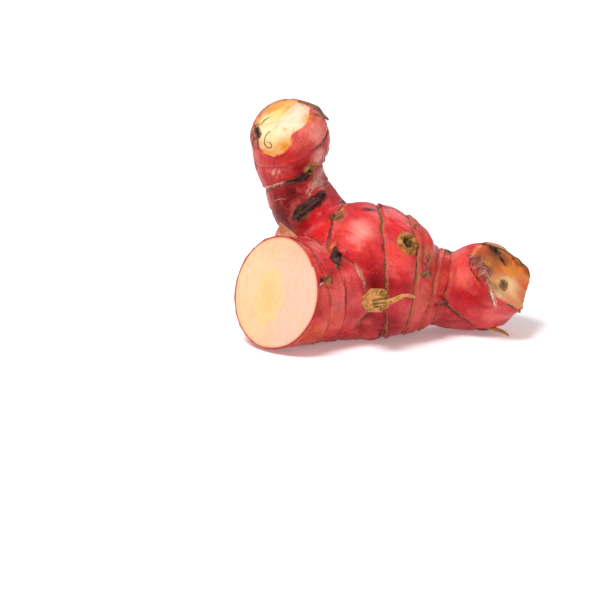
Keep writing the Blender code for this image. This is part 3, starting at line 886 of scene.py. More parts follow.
def tinted(points, tree, plain, tints):
    """Colours of the points: each tint weighs as a bell round its place, and the plain colour evenly."""
    weight = np.full(len(points), PLAIN_WEIGHT)
    total = weight[:, None] * np.array(linear(plain))
    for x, y, reach, colour in tints:
        here = bell(length(points - seen_place(tree, x, y)), reach)
        total += here[:, None] * np.array(linear(colour))
        weight += here
    return total / weight[:, None]


def new_object(name, mesh, slot=None):
    """The mesh as an object of the scene, shaded smooth; with a slot it rides on the root as a piece."""
    mesh.shade_smooth()
    obj = bpy.data.objects.new(name, mesh)
    bpy.context.scene.collection.objects.link(obj)
    if slot:
        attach(obj, "root")
    return obj


def grid_mesh(name, grids):
    """A mesh of closed grids: quads between neighbouring rings, and a fan to the middle of the end rings."""
    points, faces, used = [], [], 0
    for grid in grids:
        rings, around = grid.shape[:2]
        ring = np.arange(rings - 1)[:, None] * around
        here = np.arange(around)[None, :]
        there = (here + 1) % around
        quads = np.stack([ring + here, ring + there, ring + around + there, ring + around + here], axis=-1)
        faces += (quads.reshape(-1, 4) + used).tolist()
        first = rings * around
        last = (rings - 1) * around
        caps = [np.stack([np.full(around, first), there[0], here[0]], axis=-1)]
        caps.append(np.stack([np.full(around, first + 1), here[0] + last, there[0] + last], axis=-1))
        faces += (np.vstack(caps) + used).tolist()
        points += [grid.reshape(-1, 3), grid[0].mean(axis=0)[None], grid[-1].mean(axis=0)[None]]
        used += first + 2
    mesh = bpy.data.meshes.new(name)
    mesh.from_pydata(np.vstack(points) * MM, [], faces)
    mesh.update()
    return mesh


def turns(count):
    return np.arange(count) * 2 * math.pi / count


def tube(line, around, flatness=1.0, ridges=None):
    """Rings of points square to a path of x, y, z and radius.

    A ring is an ellipse, its height flatness times its width, and ridges is each point's share of it."""
    along = unit(np.gradient(line[:, :3], axis=0))
    level = np.eye(3)[np.abs(along.mean(axis=0)).argmin()]
    side = unit(np.cross(along, level))
    up = np.cross(side, along)
    turn = turns(around)[None, :, None]
    ring = np.cos(turn) * side[:, None] + flatness * np.sin(turn) * up[:, None]
    share = 1 if ridges is None else ridges[:, :, None]
    return line[:, None, :3] - share * line[:, None, 3:4] * ring


def round_ended(line, steps=7):
    """The path with half a ball over each end: the radius falls as a cosine, the rings move on as a sine."""
    first = 0.06  # radians, so that the first ring isn't on the path's own end
    turn = np.linspace(first, math.pi / 2, steps, endpoint=False)[:, None]
    ends = []
    for end, inner in ((line[0], line[1]), (line[-1], line[-2])):
        out = unit(end[:3] - inner[:3])
        ends.append(np.hstack([end[:3] + end[3] * np.sin(turn) * out, end[3] * np.cos(turn)]))
    return np.vstack([ends[0][::-1], line, ends[1]])


def coords(mesh):
    flat = np.empty(len(mesh.vertices) * 3)
    mesh.vertices.foreach_get("co", flat)
    return flat.reshape(-1, 3) / MM


def set_coords(mesh, points):
    mesh.vertices.foreach_set("co", (points * MM).ravel())
    mesh.update()


def mesh_tree(mesh):
    """The mesh's faces in millimetres, for finding places on them."""
    return BVHTree.FromPolygons(coords(mesh).tolist(), [face.vertices[:] for face in mesh.polygons])


def apply_modifiers(obj):
    graph = bpy.context.evaluated_depsgraph_get()
    mesh = bpy.data.meshes.new_from_object(obj.evaluated_get(graph))
    obj.modifiers.clear()
    obj.data = mesh


def evenly_meshed(obj):
    skin = obj.modifiers.new("skin", "REMESH")
    skin.mode = "VOXEL"
    skin.voxel_size = SKIN_GRID * MM
    apply_modifiers(obj)


def store(mesh, name, values):
    """Keeps one value, vector or colour for every vertex."""
    values = np.asarray(values, np.float32)
    kinds = {1: ("FLOAT", "value"), 3: ("FLOAT_VECTOR", "vector"), 4: ("FLOAT_COLOR", "color")}
    kind, field_name = kinds[1 if values.ndim == 1 else values.shape[1]]
    mesh.attributes.new(name, kind, "POINT").data.foreach_set(field_name, values.ravel())


def cut_flat(mesh, place, facing, reach):
    """Cuts the mesh flat with a knife, only within reach of the place, and closes it there."""
    work = bmesh.new()
    work.from_mesh(mesh)
    place = Vector(place) * MM
    faces = [f for f in work.faces if (f.calc_center_median() - place).length < reach * MM]
    near = list({g for f in faces for g in (f, *f.edges, *f.verts)})
    cut = bmesh.ops.bisect_plane(work, geom=near, plane_co=place, plane_no=facing, clear_outer=True)
    edges = [e for e in cut["geom_cut"] if isinstance(e, bmesh.types.BMEdge)]
    bmesh.ops.holes_fill(work, edges=edges, sides=0)
    work.to_mesh(mesh)
    work.free()


def bare_skin():
    """One even skin round all the limbs, drawn onto their smooth union."""
    spacing, around = LIMB_GRID
    grids = [tube(round_ended(spine(stations, spacing)), around) for stations in LIMBS.values()]
    skin = new_object("rhizome_skin", grid_mesh("rhizome_skin", grids), "skin")
    for steps in SETTLING:
        evenly_meshed(skin)
        set_coords(skin.data, settle(coords(skin.data), steps))
    return skin


def inside(past, edge):
    """1 inside a stain and 0 outside it, with a soft step at its edge."""
    return 1 - smooth_step(-edge, edge, past)


def relief(points, grain, patches, past):
    """Height of the bare patches, of corky stains, of wrinkles along the grain and of small lumps."""
    height = sum(rise * lumps(points, size, seed) for rise, size, seed in LUMPS)
    height += sum(rise * waver(grain, size, seed) for rise, size, seed in WRINKLES)
    for patch in patches:
        height += PATCH_CURL[0] * bell(patch - CURL_PLACE, PATCH_CURL[1])
        height -= PATCH_SINK * (1 - smooth_step(*PATCH_STEP, patch))
        height += PATCH_LUMPS[0] * lumps(points, PATCH_LUMPS[1], seed=14) * inside(patch, PATCH_EDGE)
    crust = CRUST[0] + CRUST[1] * lumps(points, CRUST[2], seed=6)
    for kind in CORKY:
        height += crust * inside(past[kind], STAIN_EDGE)
    return height


def dressed_skin():
    """The skin with its relief, and with the attributes that its material reads."""
    skin = bare_skin()
    mesh = skin.data
    points = coords(mesh)
    tree = mesh_tree(mesh)
    _, slope, share, grain = field(points)
    ring_height, ring_marks, ring_zone = leaf_scars(points, share)
    scar_height, scar_off, scar_cork = root_scars(points)
    knob, bud = (past_patch(points, end) for end in PATCHES)
    past = {kind: past_stains(points, tree, stains) for kind, stains in STAINS.items()}
    front = FRONT_CLEAR * (1 - smooth_step(*BACK, points[:, 1]))
    for kind, (off, wander, size, seed) in BACK_PATCHES.items():
        past[kind] = np.minimum(past[kind], off - wander * lumps(points, size, seed) + front)
    height = ring_height + scar_height + relief(points, grain, (knob, bud), past)
    set_coords(mesh, points + height[:, None] * unit(slope))
    dry = [inside(past[kind], STAIN_EDGE) for kind in CORKY]
    dry += [KNOB_DRYNESS * inside(knob, PATCH_EDGE), inside(bud, PATCH_EDGE)]
    dry.append(scar_cork * inside((scar_off - 1) * SCAR_SIZE, PATCH_EDGE))
    dry.append(ring_marks[:, 1] * inside(np.abs(ring_marks[:, 0]) - BAND_DRY[0], BAND_DRY[1]))
    # An attribute carries one value, a colour, or three values that attribute_parts takes apart.
    store(mesh, "tone_and_painted_light", tinted(points, tree, SKIN_RED, TINTS_AND_PAINTED_LIGHT))
    store(mesh, "bare_tone", tinted(points, tree, BARE_BUFF, BARE_TINTS))
    store(mesh, "leaf_scar", ring_marks)
    store(mesh, "stain", np.column_stack([past["black"], past["cork"], past["orange"]]))
    store(mesh, "bare", np.column_stack([np.minimum(knob, bud), past["pale"], past["plum"]]))
    store(mesh, "root_scar", np.column_stack([scar_off, scar_cork, ring_zone]))
    store(mesh, "dryness", np.max(dry, axis=0))
    store(mesh, "grain", grain)
    cut_flat(mesh, *FLATS["branch_cut"][:2], CUT_REACH)
    cut_flat(mesh, (0, 0, 0), (0, 0, -1), FLOOR_REACH)
    mesh.shade_smooth()
    mesh.materials.append(waxy_skin())
    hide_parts("rhizome")
    return skin, tree


def cut_outline(turn):
    """The rim of the knife cut: how far the skin is from its middle, in each turn of the cut's plane.

    It is found by halving, from the middle of the cut to its reach."""
    place, _, right, up = end_plane("branch_cut")
    ways = np.cos(turn)[:, None] * right + np.sin(turn)[:, None] * up
    inner, outer = np.zeros(len(turn)), np.full(len(turn), CUT_REACH)
    for _ in range(HALVINGS):
        middle = (inner + outer) / 2
        value = field(place + middle[:, None] * ways)[0]
        inner, outer = np.where(value < 0, middle, inner), np.where(value < 0, outer, middle)
    return inner


def cut_flesh():
    """The flesh of the knife cut, a lens closed behind: a polar grid whose rim follows the skin's.

    Its front swells a little, rolls over at the rim, and has fine steps from the knife and the fibres."""
    place, facing, right, up = end_plane("branch_cut")
    turn = turns(FLESH_AROUND)
    rim = cut_outline(turn) - SKIN_THICKNESS - FLESH_RIPPLE * np.sin(5 * turn + 1) * np.sin(3 * turn)
    front_rings = np.sin(np.linspace(FLESH_MIDDLE, 1, FLESH_RINGS) * math.pi / 2)
    back_rings, back_height = np.array(FLESH_BACK).T
    share = np.concatenate([front_rings, back_rings])
    x = share[:, None] * (rim * np.cos(turn))[None]
    y = share[:, None] * (rim * np.sin(turn))[None]
    flat = np.column_stack([x.ravel(), y.ravel(), np.zeros(x.size)])
    steps = FIBRE_ENDS[0] * lumps(flat, FIBRE_ENDS[1], seed=11).reshape(x.shape)
    steps += KNIFE_STEPS[0] * np.sin(KNIFE_STEPS[1] * y + KNIFE_STEPS[2] * x)
    front = FLESH_OUT + FLESH_SWELL * (1 - share**4)[:, None] + steps * (share < FLESH_ROLL)[:, None]
    front[FLESH_RINGS:] = back_height[:, None]
    points = place + x[..., None] * right + y[..., None] * up + front[..., None] * facing
    mesh = grid_mesh("cut_flesh", [points[::-1]])
    to_rim = (1 - share)[:, None] * rim
    laid = np.stack([x, y, to_rim], axis=-1)[::-1].reshape(-1, 3)
    end_middles = [(0, 0, rim.mean())] * 2
    store(mesh, "laid_flat", np.vstack([laid, end_middles]))
    mesh.materials.append(fresh_flesh())
    return new_object("cut_flesh", mesh, "flesh")


def roughened(grid, middles, height, size, seed):
    """The grid with small lumps on it, raised away from the middles of its rings."""
    bumps = height * lumps(grid.reshape(-1, 3), size, seed).reshape(grid.shape[:2])
    return grid + bumps[..., None] * unit(grid - middles[:, None])


def waves_round(turn, step, waves):
    """Ridges along a rod, as a sum of sine waves round it that may twist from ring to ring."""
    return sum(height * np.sin(count * turn + twist * step + start) for height, count, twist, start in waves)


def root_stub():
    """The stump of a root: a rod with lengthwise ridges, whose far end is frayed and a little hollow."""
    spacing, around = STUB_GRID
    line = spine(DRY_BITS["root_stub"], spacing)
    way = unit(line[-1, :3] - line[-2, :3])
    share, way_out = np.array(STUB_HOLLOW).T
    inward = line[-1:].repeat(len(STUB_HOLLOW), axis=0)
    inward[:, 3] *= share
    inward[:, :3] += way_out[:, None] * way
    line = np.vstack([line, inward])
    turn = turns(around)
    step = np.arange(len(line))[:, None]
    ridges = 1 + waves_round(turn, step, STUB_RIDGES)
    for depth, place, width in STUB_CLEFTS:
        ridges = ridges - depth * bell(turn - place, width)
    grid = roughened(tube(line, around, ridges=ridges), line[:, :3], *STUB_LUMPS, seed=12)
    begins, whole = STUB_FRAYED
    frayed = np.clip((step - len(line) + begins) / whole, 0, 1)
    grid = grid + (frayed * waves_round(turn, step, STUB_FRAY))[..., None] * way
    mesh = grid_mesh("root_stub", [grid])
    mesh.materials.append(DRY_ROOT)
    return new_object("root_stub", mesh, "dry_root")


def dry_strand(name, material, flatness=1.0, seed=20):
    """A dry strand: a tapered tube with a twist of lengthwise folds, flattened where it is a scale."""
    spacing, around = STRAND_GRID
    line = round_ended(spine(DRY_BITS[name], spacing), 4)
    step = np.arange(len(line))[:, None]
    broad, narrow = STRAND_FOLDS
    folds = 1 + waves_round(turns(around), step, [(*broad, seed), (*narrow, 0)])
    grid = roughened(tube(line, around, flatness, folds), line[:, :3], *STRAND_LUMPS, seed)
    mesh = grid_mesh(name, [grid])
    mesh.materials.append(material)
    return new_object(name, mesh, "dry_root")


def paper_scale():
    """The torn papery scale: a sheet ruled between its edges up to its tip, rippled, and behind the cut."""
    edges = np.column_stack([PAPER_SCALE, np.ones(len(PAPER_SCALE))])
    rows, columns = PAPER_GRID
    share = np.linspace(0, 1, rows)
    sides = []
    for edge in (edges[: PAPER_TIP + 1], edges[: PAPER_TIP - 1 : -1]):
        line = spine(edge, PAPER_STEP)[:, :3]
        here = np.linspace(0, 1, len(line))
        sides.append(np.column_stack([np.interp(share, here, line[:, axis]) for axis in range(3)]))
    across = np.linspace(0, 1, columns)[None, :, None]
    sheet = sides[0][:, None] * (1 - across) + sides[1][:, None] * across
    across, share = across[..., 0], share[:, None]
    bow = np.sin(across * math.pi) * (1 - share)
    ripple = sum(height * np.sin(across * over + share * up) for height, over, up in PAPER_RIPPLES)
    sheet[..., 1] -= PAPER_BOW * bow + ripple
    place, facing, _, _ = end_plane("branch_cut")
    beyond = (sheet - place) @ facing
    sheet -= np.maximum(0, beyond + PAPER_BEHIND)[..., None] * facing
    corner = (np.arange(rows - 1)[:, None] * columns + np.arange(columns - 1)).ravel()
    faces = np.stack([corner, corner + 1, corner + columns + 1, corner + columns], axis=-1)
    mesh = bpy.data.meshes.new("paper_scale")
    mesh.from_pydata(sheet.reshape(-1, 3) * MM, [], faces.tolist())
    mesh.update()
    mesh.materials.append(PAPERY)
    obj = new_object("paper_scale", mesh, "dry_root")
    wall = obj.modifiers.new("thickness", "SOLIDIFY")
    wall.thickness = PAPER * MM
    wall.offset = 0
    return obj


def skin_fibres(tree, skin):
    """Loose fibres laid on the finished skin along the places as seen: thin tubes, thinner at their ends."""
    spacing, around = FIBRE_GRID
    finished_skin = mesh_tree(skin.data)
    for kind, material in (("brown", DARK_FIBRE), ("tan", TAN_FIBRE), ("pale", PALE_FIBRE)):
        grids = []
        for colour, radius, path in FIBRES:
            if colour != kind:
                continue
            places = np.array([seen_place(tree, x, y) for x, y in path])
            line = spine(np.column_stack([places, np.full(len(places), radius)]), spacing)
            settled = settle(line[:, :3], FIBRE_STEPS)
            nearest = [finished_skin.find_nearest(place) for place in settled.tolist()]
            on_skin, slope = (np.array([found[part] for found in nearest]) for part in (0, 1))
            share = np.linspace(0, 1, len(line))
            line[:, 3] *= FIBRE_TIP + (1 - FIBRE_TIP) * np.sin(share * math.pi) ** 0.5
            lift = FIBRE_LIFT * line[:, 3] + FIBRE_WAVE[0] * np.sin(share * FIBRE_WAVE[1])
            line[:, :3] = on_skin + lift[:, None] * slope
            grids.append(tube(line, around))
        mesh = grid_mesh(kind + "_fibres", grids)
        mesh.materials.append(material)
        new_object(kind + "_fibres", mesh, "dry_root")


def sheath_shreds(skin):
    """The torn ends of leaf sheaths along the leaf scars: small flat spindles that lean from the skin."""
    mesh = skin.data
    points = coords(mesh)
    marks = np.empty(len(points) * 3, np.float32)
    mesh.attributes["leaf_scar"].data.foreach_get("vector", marks)
    side, brown, near = marks.reshape(-1, 3).T
    normals = np.empty(len(points) * 3, np.float32)
    mesh.vertices.foreach_get("normal", normals)
    normals = normals.reshape(-1, 3)
    least_near, least_brown, most_side = SHRED_BAND
    on_band = (near > least_near) & (brown > least_brown) & (np.abs(side) < most_side)
    feet = np.flatnonzero(on_band & (points[:, 2] > SHRED_FLOOR))
    reach, line_near, line_side = SHRED_LINE
    on_line = (near > line_near) & (np.abs(side) < line_side)
    rings, around = SHRED_GRID
    chance = np.random.default_rng(30)
    grids = []
    for foot in chance.choice(feet, SHREDS, replace=False):
        out = normals[foot]
        level = unit(np.cross(out, chance.normal(size=3)))
        nearby = points[(length(points - points[foot]) < reach) & on_line]
        if len(nearby) > 2:
            level = unit(np.linalg.svd(nearby - nearby.mean(axis=0))[2][0])
        way = unit(level * chance.choice((-1, 1)) + out * chance.uniform(*SHRED_LEAN))
        size = chance.uniform(*SHRED_LENGTH)
        share = np.linspace(0, 1, rings)[:, None]
        path = points[foot] + way * size * share - out * SHRED_SUNK
        path += np.cross(way, out) * SHRED_BEND[0] * np.sin(share * SHRED_BEND[1]) * chance.normal()
        radius = chance.uniform(*SHRED_RADIUS) * np.sin(SHRED_TAPER[0] + share * SHRED_TAPER[1])
        grids.append(tube(np.hstack([path, radius]), around, SHRED_FLATNESS))
    shreds = grid_mesh("sheath_shreds", grids)
    shreds.materials.append(DARK_FIBRE)
    return new_object("sheath_shreds", shreds, "dry_root")


MIX_UNDER, MIX_OVER = 6, 7  # the two colour sockets of a Mix node


def add(tree, kind, inputs=None, **settings):
    """Adds a node: settings are its properties, inputs its sockets' values or the nodes linked to them."""
    made = tree.nodes.new("ShaderNode" + kind)
    for name, value in settings.items():
        setattr(made, name, value)
    for key, value in (inputs or {}).items():
        if isinstance(value, bpy.types.Node):
            value = next(s for s in value.outputs if s.enabled)
        if isinstance(value, bpy.types.NodeSocket):
            tree.links.new(value, made.inputs[key])
        elif isinstance(value, str):
            made.inputs[key].default_value = linear(value)
        else:
            made.inputs[key].default_value = value
    return made


def new_material(name, **values):
    """A material with the Principled surface's own sockets set, its node tree and that surface."""
    material = bpy.data.materials.new(name)
    material.use_nodes = True
    surface = material.node_tree.nodes["Principled BSDF"]
    for socket, value in values.items():
        surface.inputs[socket.replace("_", " ")].default_value = value
    return material, material.node_tree, surface


def finished(tree, surface, colour, height, roughness=None):
    """Links a colour, bumps with their height in millimetres, and a varying roughness to the surface."""
    bump = add(tree, "Bump", {"Height": height, "Distance": MM, "Strength": 1.0})
    tree.links.new(bump.outputs[0], surface.inputs["Normal"])
    tree.links.new(colour.outputs[2], surface.inputs["Base Color"])
    if roughness:
        tree.links.new(roughness.outputs[0], surface.inputs["Roughness"])


def in_millimetres(tree):
    place = add(tree, "TexCoord")
    return add(tree, "VectorMath", {0: place.outputs["Object"], "Scale": 1 / MM}, operation="SCALE")


def attribute_parts(tree, name):
    found = add(tree, "Attribute", attribute_name=name)
    return add(tree, "SeparateXYZ", {0: found.outputs["Vector"]}).outputs


def coat(tree, under, colour, value, low, high, share=1.0, blend="MIX"):
    """Lays a colour over another in a smooth step of the value, from none at low to share at high."""
    step = {"Value": value, "From Min": low, "From Max": high, "To Max": share}
    mask = add(tree, "MapRange", step, interpolation_type="SMOOTHSTEP")
    layers = {0: mask, MIX_UNDER: under, MIX_OVER: colour}
    return add(tree, "Mix", layers, data_type="RGBA", blend_type=blend)


def stain(tree, under, past, colours, ragged, fine, fray, soft, share):
    """Lays a stain where past is below nothing: ragged at its edge, and mottled finely with two colours."""
    edge = add(tree, "Math", {0: ragged, 1: fray, 2: past}, operation="MULTIPLY_ADD")
    mottled = coat(tree, colours[0], colours[1], fine, 0.42, 0.64)
    return coat(tree, under, mottled, edge, soft, -soft, share)


def living_skin(tree, mm, grain, mottle, streak):
    """The plain skin's colour: its tone with its painted highlights and shade, with clouds, mottling, streaks
    along the grain, the pale ones partly a painted sheen, pores and specks.
    """
    broad = add(tree, "TexNoise", {"Vector": mm, "Scale": 1 / 5.5, "Detail": 3.0})
    threads = add(tree, "TexNoise", {"Vector": grain, "Scale": 1 / 0.35, "Detail": 2.0})
    specks = add(tree, "TexVoronoi", {"Vector": mm, "Scale": 1 / 2.6}).outputs["Distance"]
    pores = add(tree, "TexVoronoi", {"Vector": mm, "Scale": 1 / 0.9}).outputs["Distance"]
    colour = add(tree, "Attribute", attribute_name="tone_and_painted_light").outputs["Color"]
    # Each layer's colour, the pattern that it follows, where it begins and is full, its share and its blend.
    for layer in (
        ("#E0706A", broad, 0.48, 0.34, 0.30, "MIX"),
        ("#B87078", broad, 0.50, 0.68, 0.42, "MULTIPLY"),
        ("#6E5A48", mottle, 0.55, 0.75, 0.45, "DODGE"),
        ("#A8484A", streak, 0.54, 0.70, 0.34, "MULTIPLY"),
        # pale streaks along the grain: partly a painted sheen
        ("#6E6462", streak, 0.46, 0.32, 0.45, "DODGE"),
        ("#C07070", threads, 0.52, 0.70, 0.20, "MULTIPLY"),
        ("#F0A090", pores, 0.16, 0.06, 0.35, "MIX"),
        ("#6A1A1C", specks, 0.13, 0.08, 0.35, "MIX"),
    ):
        colour = coat(tree, colour, *layer)
    return colour


def scar_lines(tree, under, ragged, fine):
    """Lays the leaf scars over a colour: a corky band, a tan line on its tip side, a dark groove behind."""
    side, brown, near = attribute_parts(tree, "leaf_scar")
    part = add(tree, "Math", {0: ragged, 1: 0.6, 2: side}, operation="MULTIPLY_ADD")
    off = add(tree, "Math", {0: part}, operation="ABSOLUTE")
    tip_side = add(tree, "Math", {0: part, 1: 1.7, 2: 0.55}, operation="COMPARE")
    behind = add(tree, "Math", {0: part, 1: -1.3, 2: 0.45}, operation="COMPARE")
    nearness = {"Value": near, "From Min": BAND_CLOSE[0], "From Max": BAND_CLOSE[1], "To Max": 0.65}
    close = add(tree, "MapRange", nearness)
    bark = coat(tree, "#64402E", "#9A6A4A", fine, 0.42, 0.62)
    colour = coat(tree, under, bark, off, 1.2, 0.6, brown)
    colour = coat(tree, colour, "#B07048", tip_side, 0.0, 1.5, brown)
    return coat(tree, colour, "#3A1C1A", behind, 0.0, 1.0, close)


def waxy_skin():
    """Living rhizome skin: thin, waxy and half glossy over pink flesh, so it is red with a soft sheen."""
    material, tree, surface = new_material(
        "waxy_rhizome_skin",
        IOR=1.33,
        Specular_IOR_Level=0.35,
        Specular_Tint=linear("#FFA498"),
        Subsurface_Weight=0.12,
        Subsurface_Scale=1.5 * MM,
        Coat_Weight=0.08,
        Coat_Roughness=0.2,
    )
    surface.inputs["Subsurface Radius"].default_value = (1.0, 0.25, 0.2)
    mm = in_millimetres(tree)
    grain = add(tree, "Attribute", attribute_name="grain").outputs["Vector"]
    black, cork, orange = attribute_parts(tree, "stain")
    bare, pale, plum = attribute_parts(tree, "bare")
    scar_off, scar_cork, zone = attribute_parts(tree, "root_scar")
    mottle = add(tree, "TexNoise", {"Vector": mm, "Scale": 1 / 1.4, "Detail": 4.0, "Roughness": 0.6})
    fine = add(tree, "TexNoise", {"Vector": mm, "Scale": 1 / 0.5, "Detail": 3.0, "Roughness": 0.6})
    streak = add(tree, "TexNoise", {"Vector": grain, "Scale": 1 / 0.8, "Detail": 4.0})
    across = {"Vector": mm, "Rotation": (0.0, -0.63, 0.0), "Scale": (4.0, 1.0, 1.0)}
    across = add(tree, "Mapping", across, vector_type="TEXTURE")
    smear = add(tree, "TexNoise", {"Vector": across, "Scale": 1 / 1.1, "Detail": 5.0, "Roughness": 0.65})
    ragged = add(tree, "Math", {0: mottle, 1: 2.2, 2: -1.1}, operation="MULTIPLY_ADD")

    colour = living_skin(tree, mm, grain, mottle, streak)
    tan_zone = add(tree, "Math", {0: zone, 1: mottle}, operation="MULTIPLY")
    colour = coat(tree, colour, "#B0664A", tan_zone, 0.18, 0.52, 0.6)
    bare_tone = add(tree, "Attribute", attribute_name="bare_tone").outputs["Color"]
    weathered = coat(tree, bare_tone, "#DAA870", smear, 0.50, 0.72, 0.45, "MULTIPLY")
    bare_edge = add(tree, "Math", {0: ragged, 1: 0.4, 2: bare}, operation="MULTIPLY_ADD")
    colour = coat(tree, colour, weathered, bare_edge, 0.25, -0.3)
    colour = scar_lines(tree, colour, ragged, fine)
    rim = add(tree, "Math", {0: scar_off, 1: RIM_EDGE}, operation="SUBTRACT")
    pit = add(tree, "Math", {0: scar_off, 1: PIT_EDGE}, operation="SUBTRACT")
    # Each stain's place and two colours, the noise that mottles them, its fray, its softness and its share.
    for past, colours, noise, fray, soft, share in (
        (plum, ("#6A2C2A", "#B07868"), smear, 1.1, 0.3, 0.84),
        (cork, ("#5E3E2A", "#94704A"), smear, 0.9, 0.3, 0.9),
        (orange, ("#D98A30", "#B8621E"), mottle, 0.9, 0.5, 0.85),
        (rim, ("#7E4E24", "#BC803C"), mottle, 0.45, 0.16, scar_cork),
        (pit, ("#402818", "#6E4E30"), mottle, 0.35, 0.14, scar_cork),
        (black, ("#120C0A", "#4C3E36"), smear, 0.9, 0.35, 0.95),
        # pale marks: torn skin, and painted highlight streaks on the neck's right side
        (pale, ("#E8C4B4", "#CC9484"), smear, 0.6, 0.35, 0.75),
    ):
        colour = stain(tree, colour, past, colours, ragged, noise, fray, soft, share)

    dry = add(tree, "Attribute", attribute_name="dryness").outputs["Fac"]
    matt = {"Value": dry, "To Min": SKIN_ROUGHNESS[0], "To Max": SKIN_ROUGHNESS[1]}
    matt = add(tree, "MapRange", matt)
    roughness = add(tree, "Math", {0: mottle, 1: 0.3, 2: matt}, operation="MULTIPLY_ADD")
    roughness = add(tree, "Math", {0: roughness, 1: 0.15}, operation="SUBTRACT")
    crust = add(tree, "Math", {0: dry, 1: CRUST_BUMPS[1], 2: CRUST_BUMPS[0]}, operation="MULTIPLY_ADD")
    folds = add(tree, "Math", {0: streak, 1: 0.10}, operation="MULTIPLY")
    height = add(tree, "Math", {0: fine, 1: crust, 2: folds}, operation="MULTIPLY_ADD")
    finished(tree, surface, colour, height, roughness)
    return material


def fresh_flesh():
    """Fresh-cut flesh: moist, pale and fibrous, with a yellow core, an orange rim and a pinker right side."""
    material, tree, surface = new_material(
        "fresh_cut_flesh", IOR=1.4, Roughness=0.45, Subsurface_Weight=0.25, Subsurface_Scale=2 * MM
    )
    surface.inputs["Subsurface Radius"].default_value = (1.0, 0.6, 0.4)
    laid = add(tree, "Attribute", attribute_name="laid_flat").outputs["Vector"]
    across, up, to_rim = add(tree, "SeparateXYZ", {0: laid}).outputs
    soft = add(tree, "TexNoise", {"Vector": laid, "Scale": 1 / 4.0, "Detail": 3.0})
    strands = add(tree, "Mapping", {"Vector": laid, "Scale": (1.0, 0.25, 0.0)})
    strand = add(tree, "TexNoise", {"Vector": strands, "Scale": 1 / 1.5, "Detail": 2.0})
    fibre = add(tree, "TexNoise", {"Vector": laid, "Scale": 1 / 0.5, "Detail": 3.0, "Roughness": 0.7})
    ends = add(tree, "TexVoronoi", {"Vector": laid, "Scale": 1 / 1.1}).outputs["Distance"]
    core_scale = (1 / CORE_SIZE[0], 1 / CORE_SIZE[1], 0.0)
    core_place = (-CORE_PLACE[0] / CORE_SIZE[0], -CORE_PLACE[1] / CORE_SIZE[1], 0.0)
    core = add(tree, "Mapping", {"Vector": laid, "Location": core_place, "Scale": core_scale})
    core = add(tree, "VectorMath", {0: core}, operation="LENGTH").outputs["Value"]
    core = add(tree, "Math", {0: soft, 1: 0.5, 2: core}, operation="MULTIPLY_ADD")
    low_left = add(tree, "Math", {0: up, 1: across}, operation="ADD")

    dots = coat(tree, "#D8A478", "#A89080", across, 3.0, 9.0)
    colour = "#E4C49A"
    # Each layer's colour, what it follows, where it begins and is full, and its share.
    for layer in (
        ("#E4B8A2", across, -9.0, 9.0, 1.0),
        ("#E9BC88", low_left, -4.0, -22.0, 0.7),
        ("#E9C284", core, 1.32, 1.12, 0.85),
        ("#E8B468", core, 1.00, 0.45, 0.5),
        ("#E6B47C", strand, 0.50, 0.68, 0.5),
        ("#E6AC8C", soft, 0.52, 0.70, 0.5),
        ("#E6A67C", up, 5.0, 15.0, 0.45),
        ("#F8E6D0", fibre, 0.50, 0.74, 0.45),
        (dots, ends, 0.15, 0.08, 0.6),
        ("#E08A5A", to_rim, 0.9, 0.0, 0.55),
        ("#B8342E", to_rim, 0.25, 0.0, 0.6),
    ):
        colour = coat(tree, colour, *layer)
    height = add(tree, "Math", {0: fibre, 1: 0.6, 2: soft}, operation="MULTIPLY_ADD")
    height = add(tree, "Math", {0: height, 1: 0.1}, operation="MULTIPLY")
    finished(tree, surface, colour, height)
    return material


def dry_bark(name, light, dark, grain_size, **values):
    """Dry plant tissue: matt and fibrous, its light colour broken by darker patches and fine pits."""
    material, tree, surface = new_material(name, **{"IOR": 1.45, "Roughness": 0.7, **values})
    mm = in_millimetres(tree)
    patch = add(tree, "TexNoise", {"Vector": mm, "Scale": 1 / grain_size, "Detail": 4.0, "Roughness": 0.6})
    fine = add(tree, "TexNoise", {"Vector": mm, "Scale": 4 / grain_size, "Detail": 3.0})
    colour = coat(tree, light, dark, patch, 0.45, 0.68)
    colour = coat(tree, colour, dark, fine, 0.56, 0.72, 0.6, "MULTIPLY")
    height = add(tree, "Math", {0: fine, 1: 0.8, 2: patch}, operation="MULTIPLY_ADD")
    height = add(tree, "Math", {0: height, 1: 0.15}, operation="MULTIPLY")
    finished(tree, surface, colour, height)
    return material


def lit_card():
    """White matt card that glows a little, and more far away, so that it is the background's plain white."""
    material, tree, surface = new_material(
        "lit_white_card", Roughness=0.9, Base_Color=WHITE, Emission_Color=WHITE
    )
    place = add(tree, "TexCoord").outputs["Object"]
    away = add(tree, "VectorMath", {0: place}, operation="LENGTH").outputs["Value"]
    glow = {"Value": away, "From Min": FAR[0], "From Max": FAR[1], "To Min": CARD_GLOW, "To Max": FAR_GLOW}
    tree.links.new(add(tree, "MapRange", glow).outputs[0], surface.inputs["Emission Strength"])
    return material


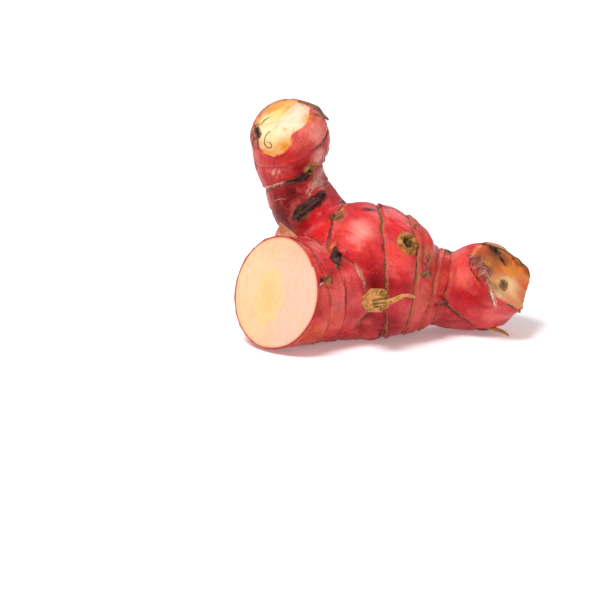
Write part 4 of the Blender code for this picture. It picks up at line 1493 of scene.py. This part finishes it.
def stage():
    """The card to stand on, the white room and three soft lights."""
    mesh = bpy.data.meshes.new("card")
    corners = [(x * CARD_HALF, y * CARD_HALF, 0) for x, y in ((-1, -1), (1, -1), (1, 1), (-1, 1))]
    mesh.from_pydata(corners, [], [(0, 1, 2, 3)])
    mesh.materials.append(lit_card())
    new_object("card", mesh)

    world = bpy.data.worlds.new("white_room")
    world.use_nodes = True
    background = world.node_tree.nodes["Background"]
    background.inputs["Color"].default_value = WHITE
    background.inputs["Strength"].default_value = ROOM_LIGHT
    bpy.context.scene.world = world

    for name, place, size, power in LIGHTS:
        light = bpy.data.lights.new(name, "AREA")
        light.size = size
        light.energy = power
        obj = bpy.data.objects.new(name, light)
        obj.location = place
        obj.rotation_mode = "QUATERNION"
        obj.rotation_quaternion = (Vector(LIGHT_AIM) - Vector(place)).to_track_quat("-Z", "Y")
        bpy.context.scene.collection.objects.link(obj)


def camera():
    """The photograph's view."""
    data = bpy.data.cameras.new("camera")
    data.sensor_width = FILM
    data.lens = FILM * CAMERA_DISTANCE / (PICTURE * MM_PER_PIXEL)
    data.clip_start, data.clip_end = SIGHT
    obj = bpy.data.objects.new("camera", data)
    obj.location = Vector(camera_eye()) * MM
    obj.rotation_mode = "QUATERNION"
    obj.rotation_quaternion = Vector(-camera_axes()[2]).to_track_quat("-Z", "Y")
    bpy.context.scene.collection.objects.link(obj)
    bpy.context.scene.camera = obj


# Dead root wood, dried in the air: matt and tan, with darker pits.
DRY_ROOT = dry_bark("dry_root_wood", "#CE9450", "#9C662E", 1.6)
# Leaf scale that has dried on the root: dull brown, with dark patches.
BROWN_SCALE = dry_bark("dry_brown_scale", "#8A6858", "#4E342A", 1.2)
# Torn leaf scale as thin as paper: reddish, and some light goes through it.
PAPERY = dry_bark("papery_scale", "#C8805A", "#AE5638", 2.2, Subsurface_Weight=0.2)
# Threads of old leaf sheath: dark where they have rotted, tan or pale where they dried clean.
DARK_FIBRE = dry_bark("dark_fibre", "#6B4630", "#3A2620", 0.8)
TAN_FIBRE = dry_bark("tan_fibre", "#CC9478", "#A4685A", 1.0)
PALE_FIBRE = dry_bark("pale_fibre", "#EBC2A4", "#CF8F70", 1.0)

skin, skin_tree = dressed_skin()
cut_flesh()
root_stub()
dry_strand("root_strand", DRY_ROOT, 0.7)
dry_strand("crown_scale", BROWN_SCALE, 0.5, 21)
dry_strand("bud_scale", BROWN_SCALE, 0.5, 22)
dry_strand("bud_fibre", DRY_ROOT, 0.8, 23)
paper_scale()
skin_fibres(skin_tree, skin)
sheath_shreds(skin)
stage()
camera()
bpy.context.scene.view_settings.view_transform = "Standard"
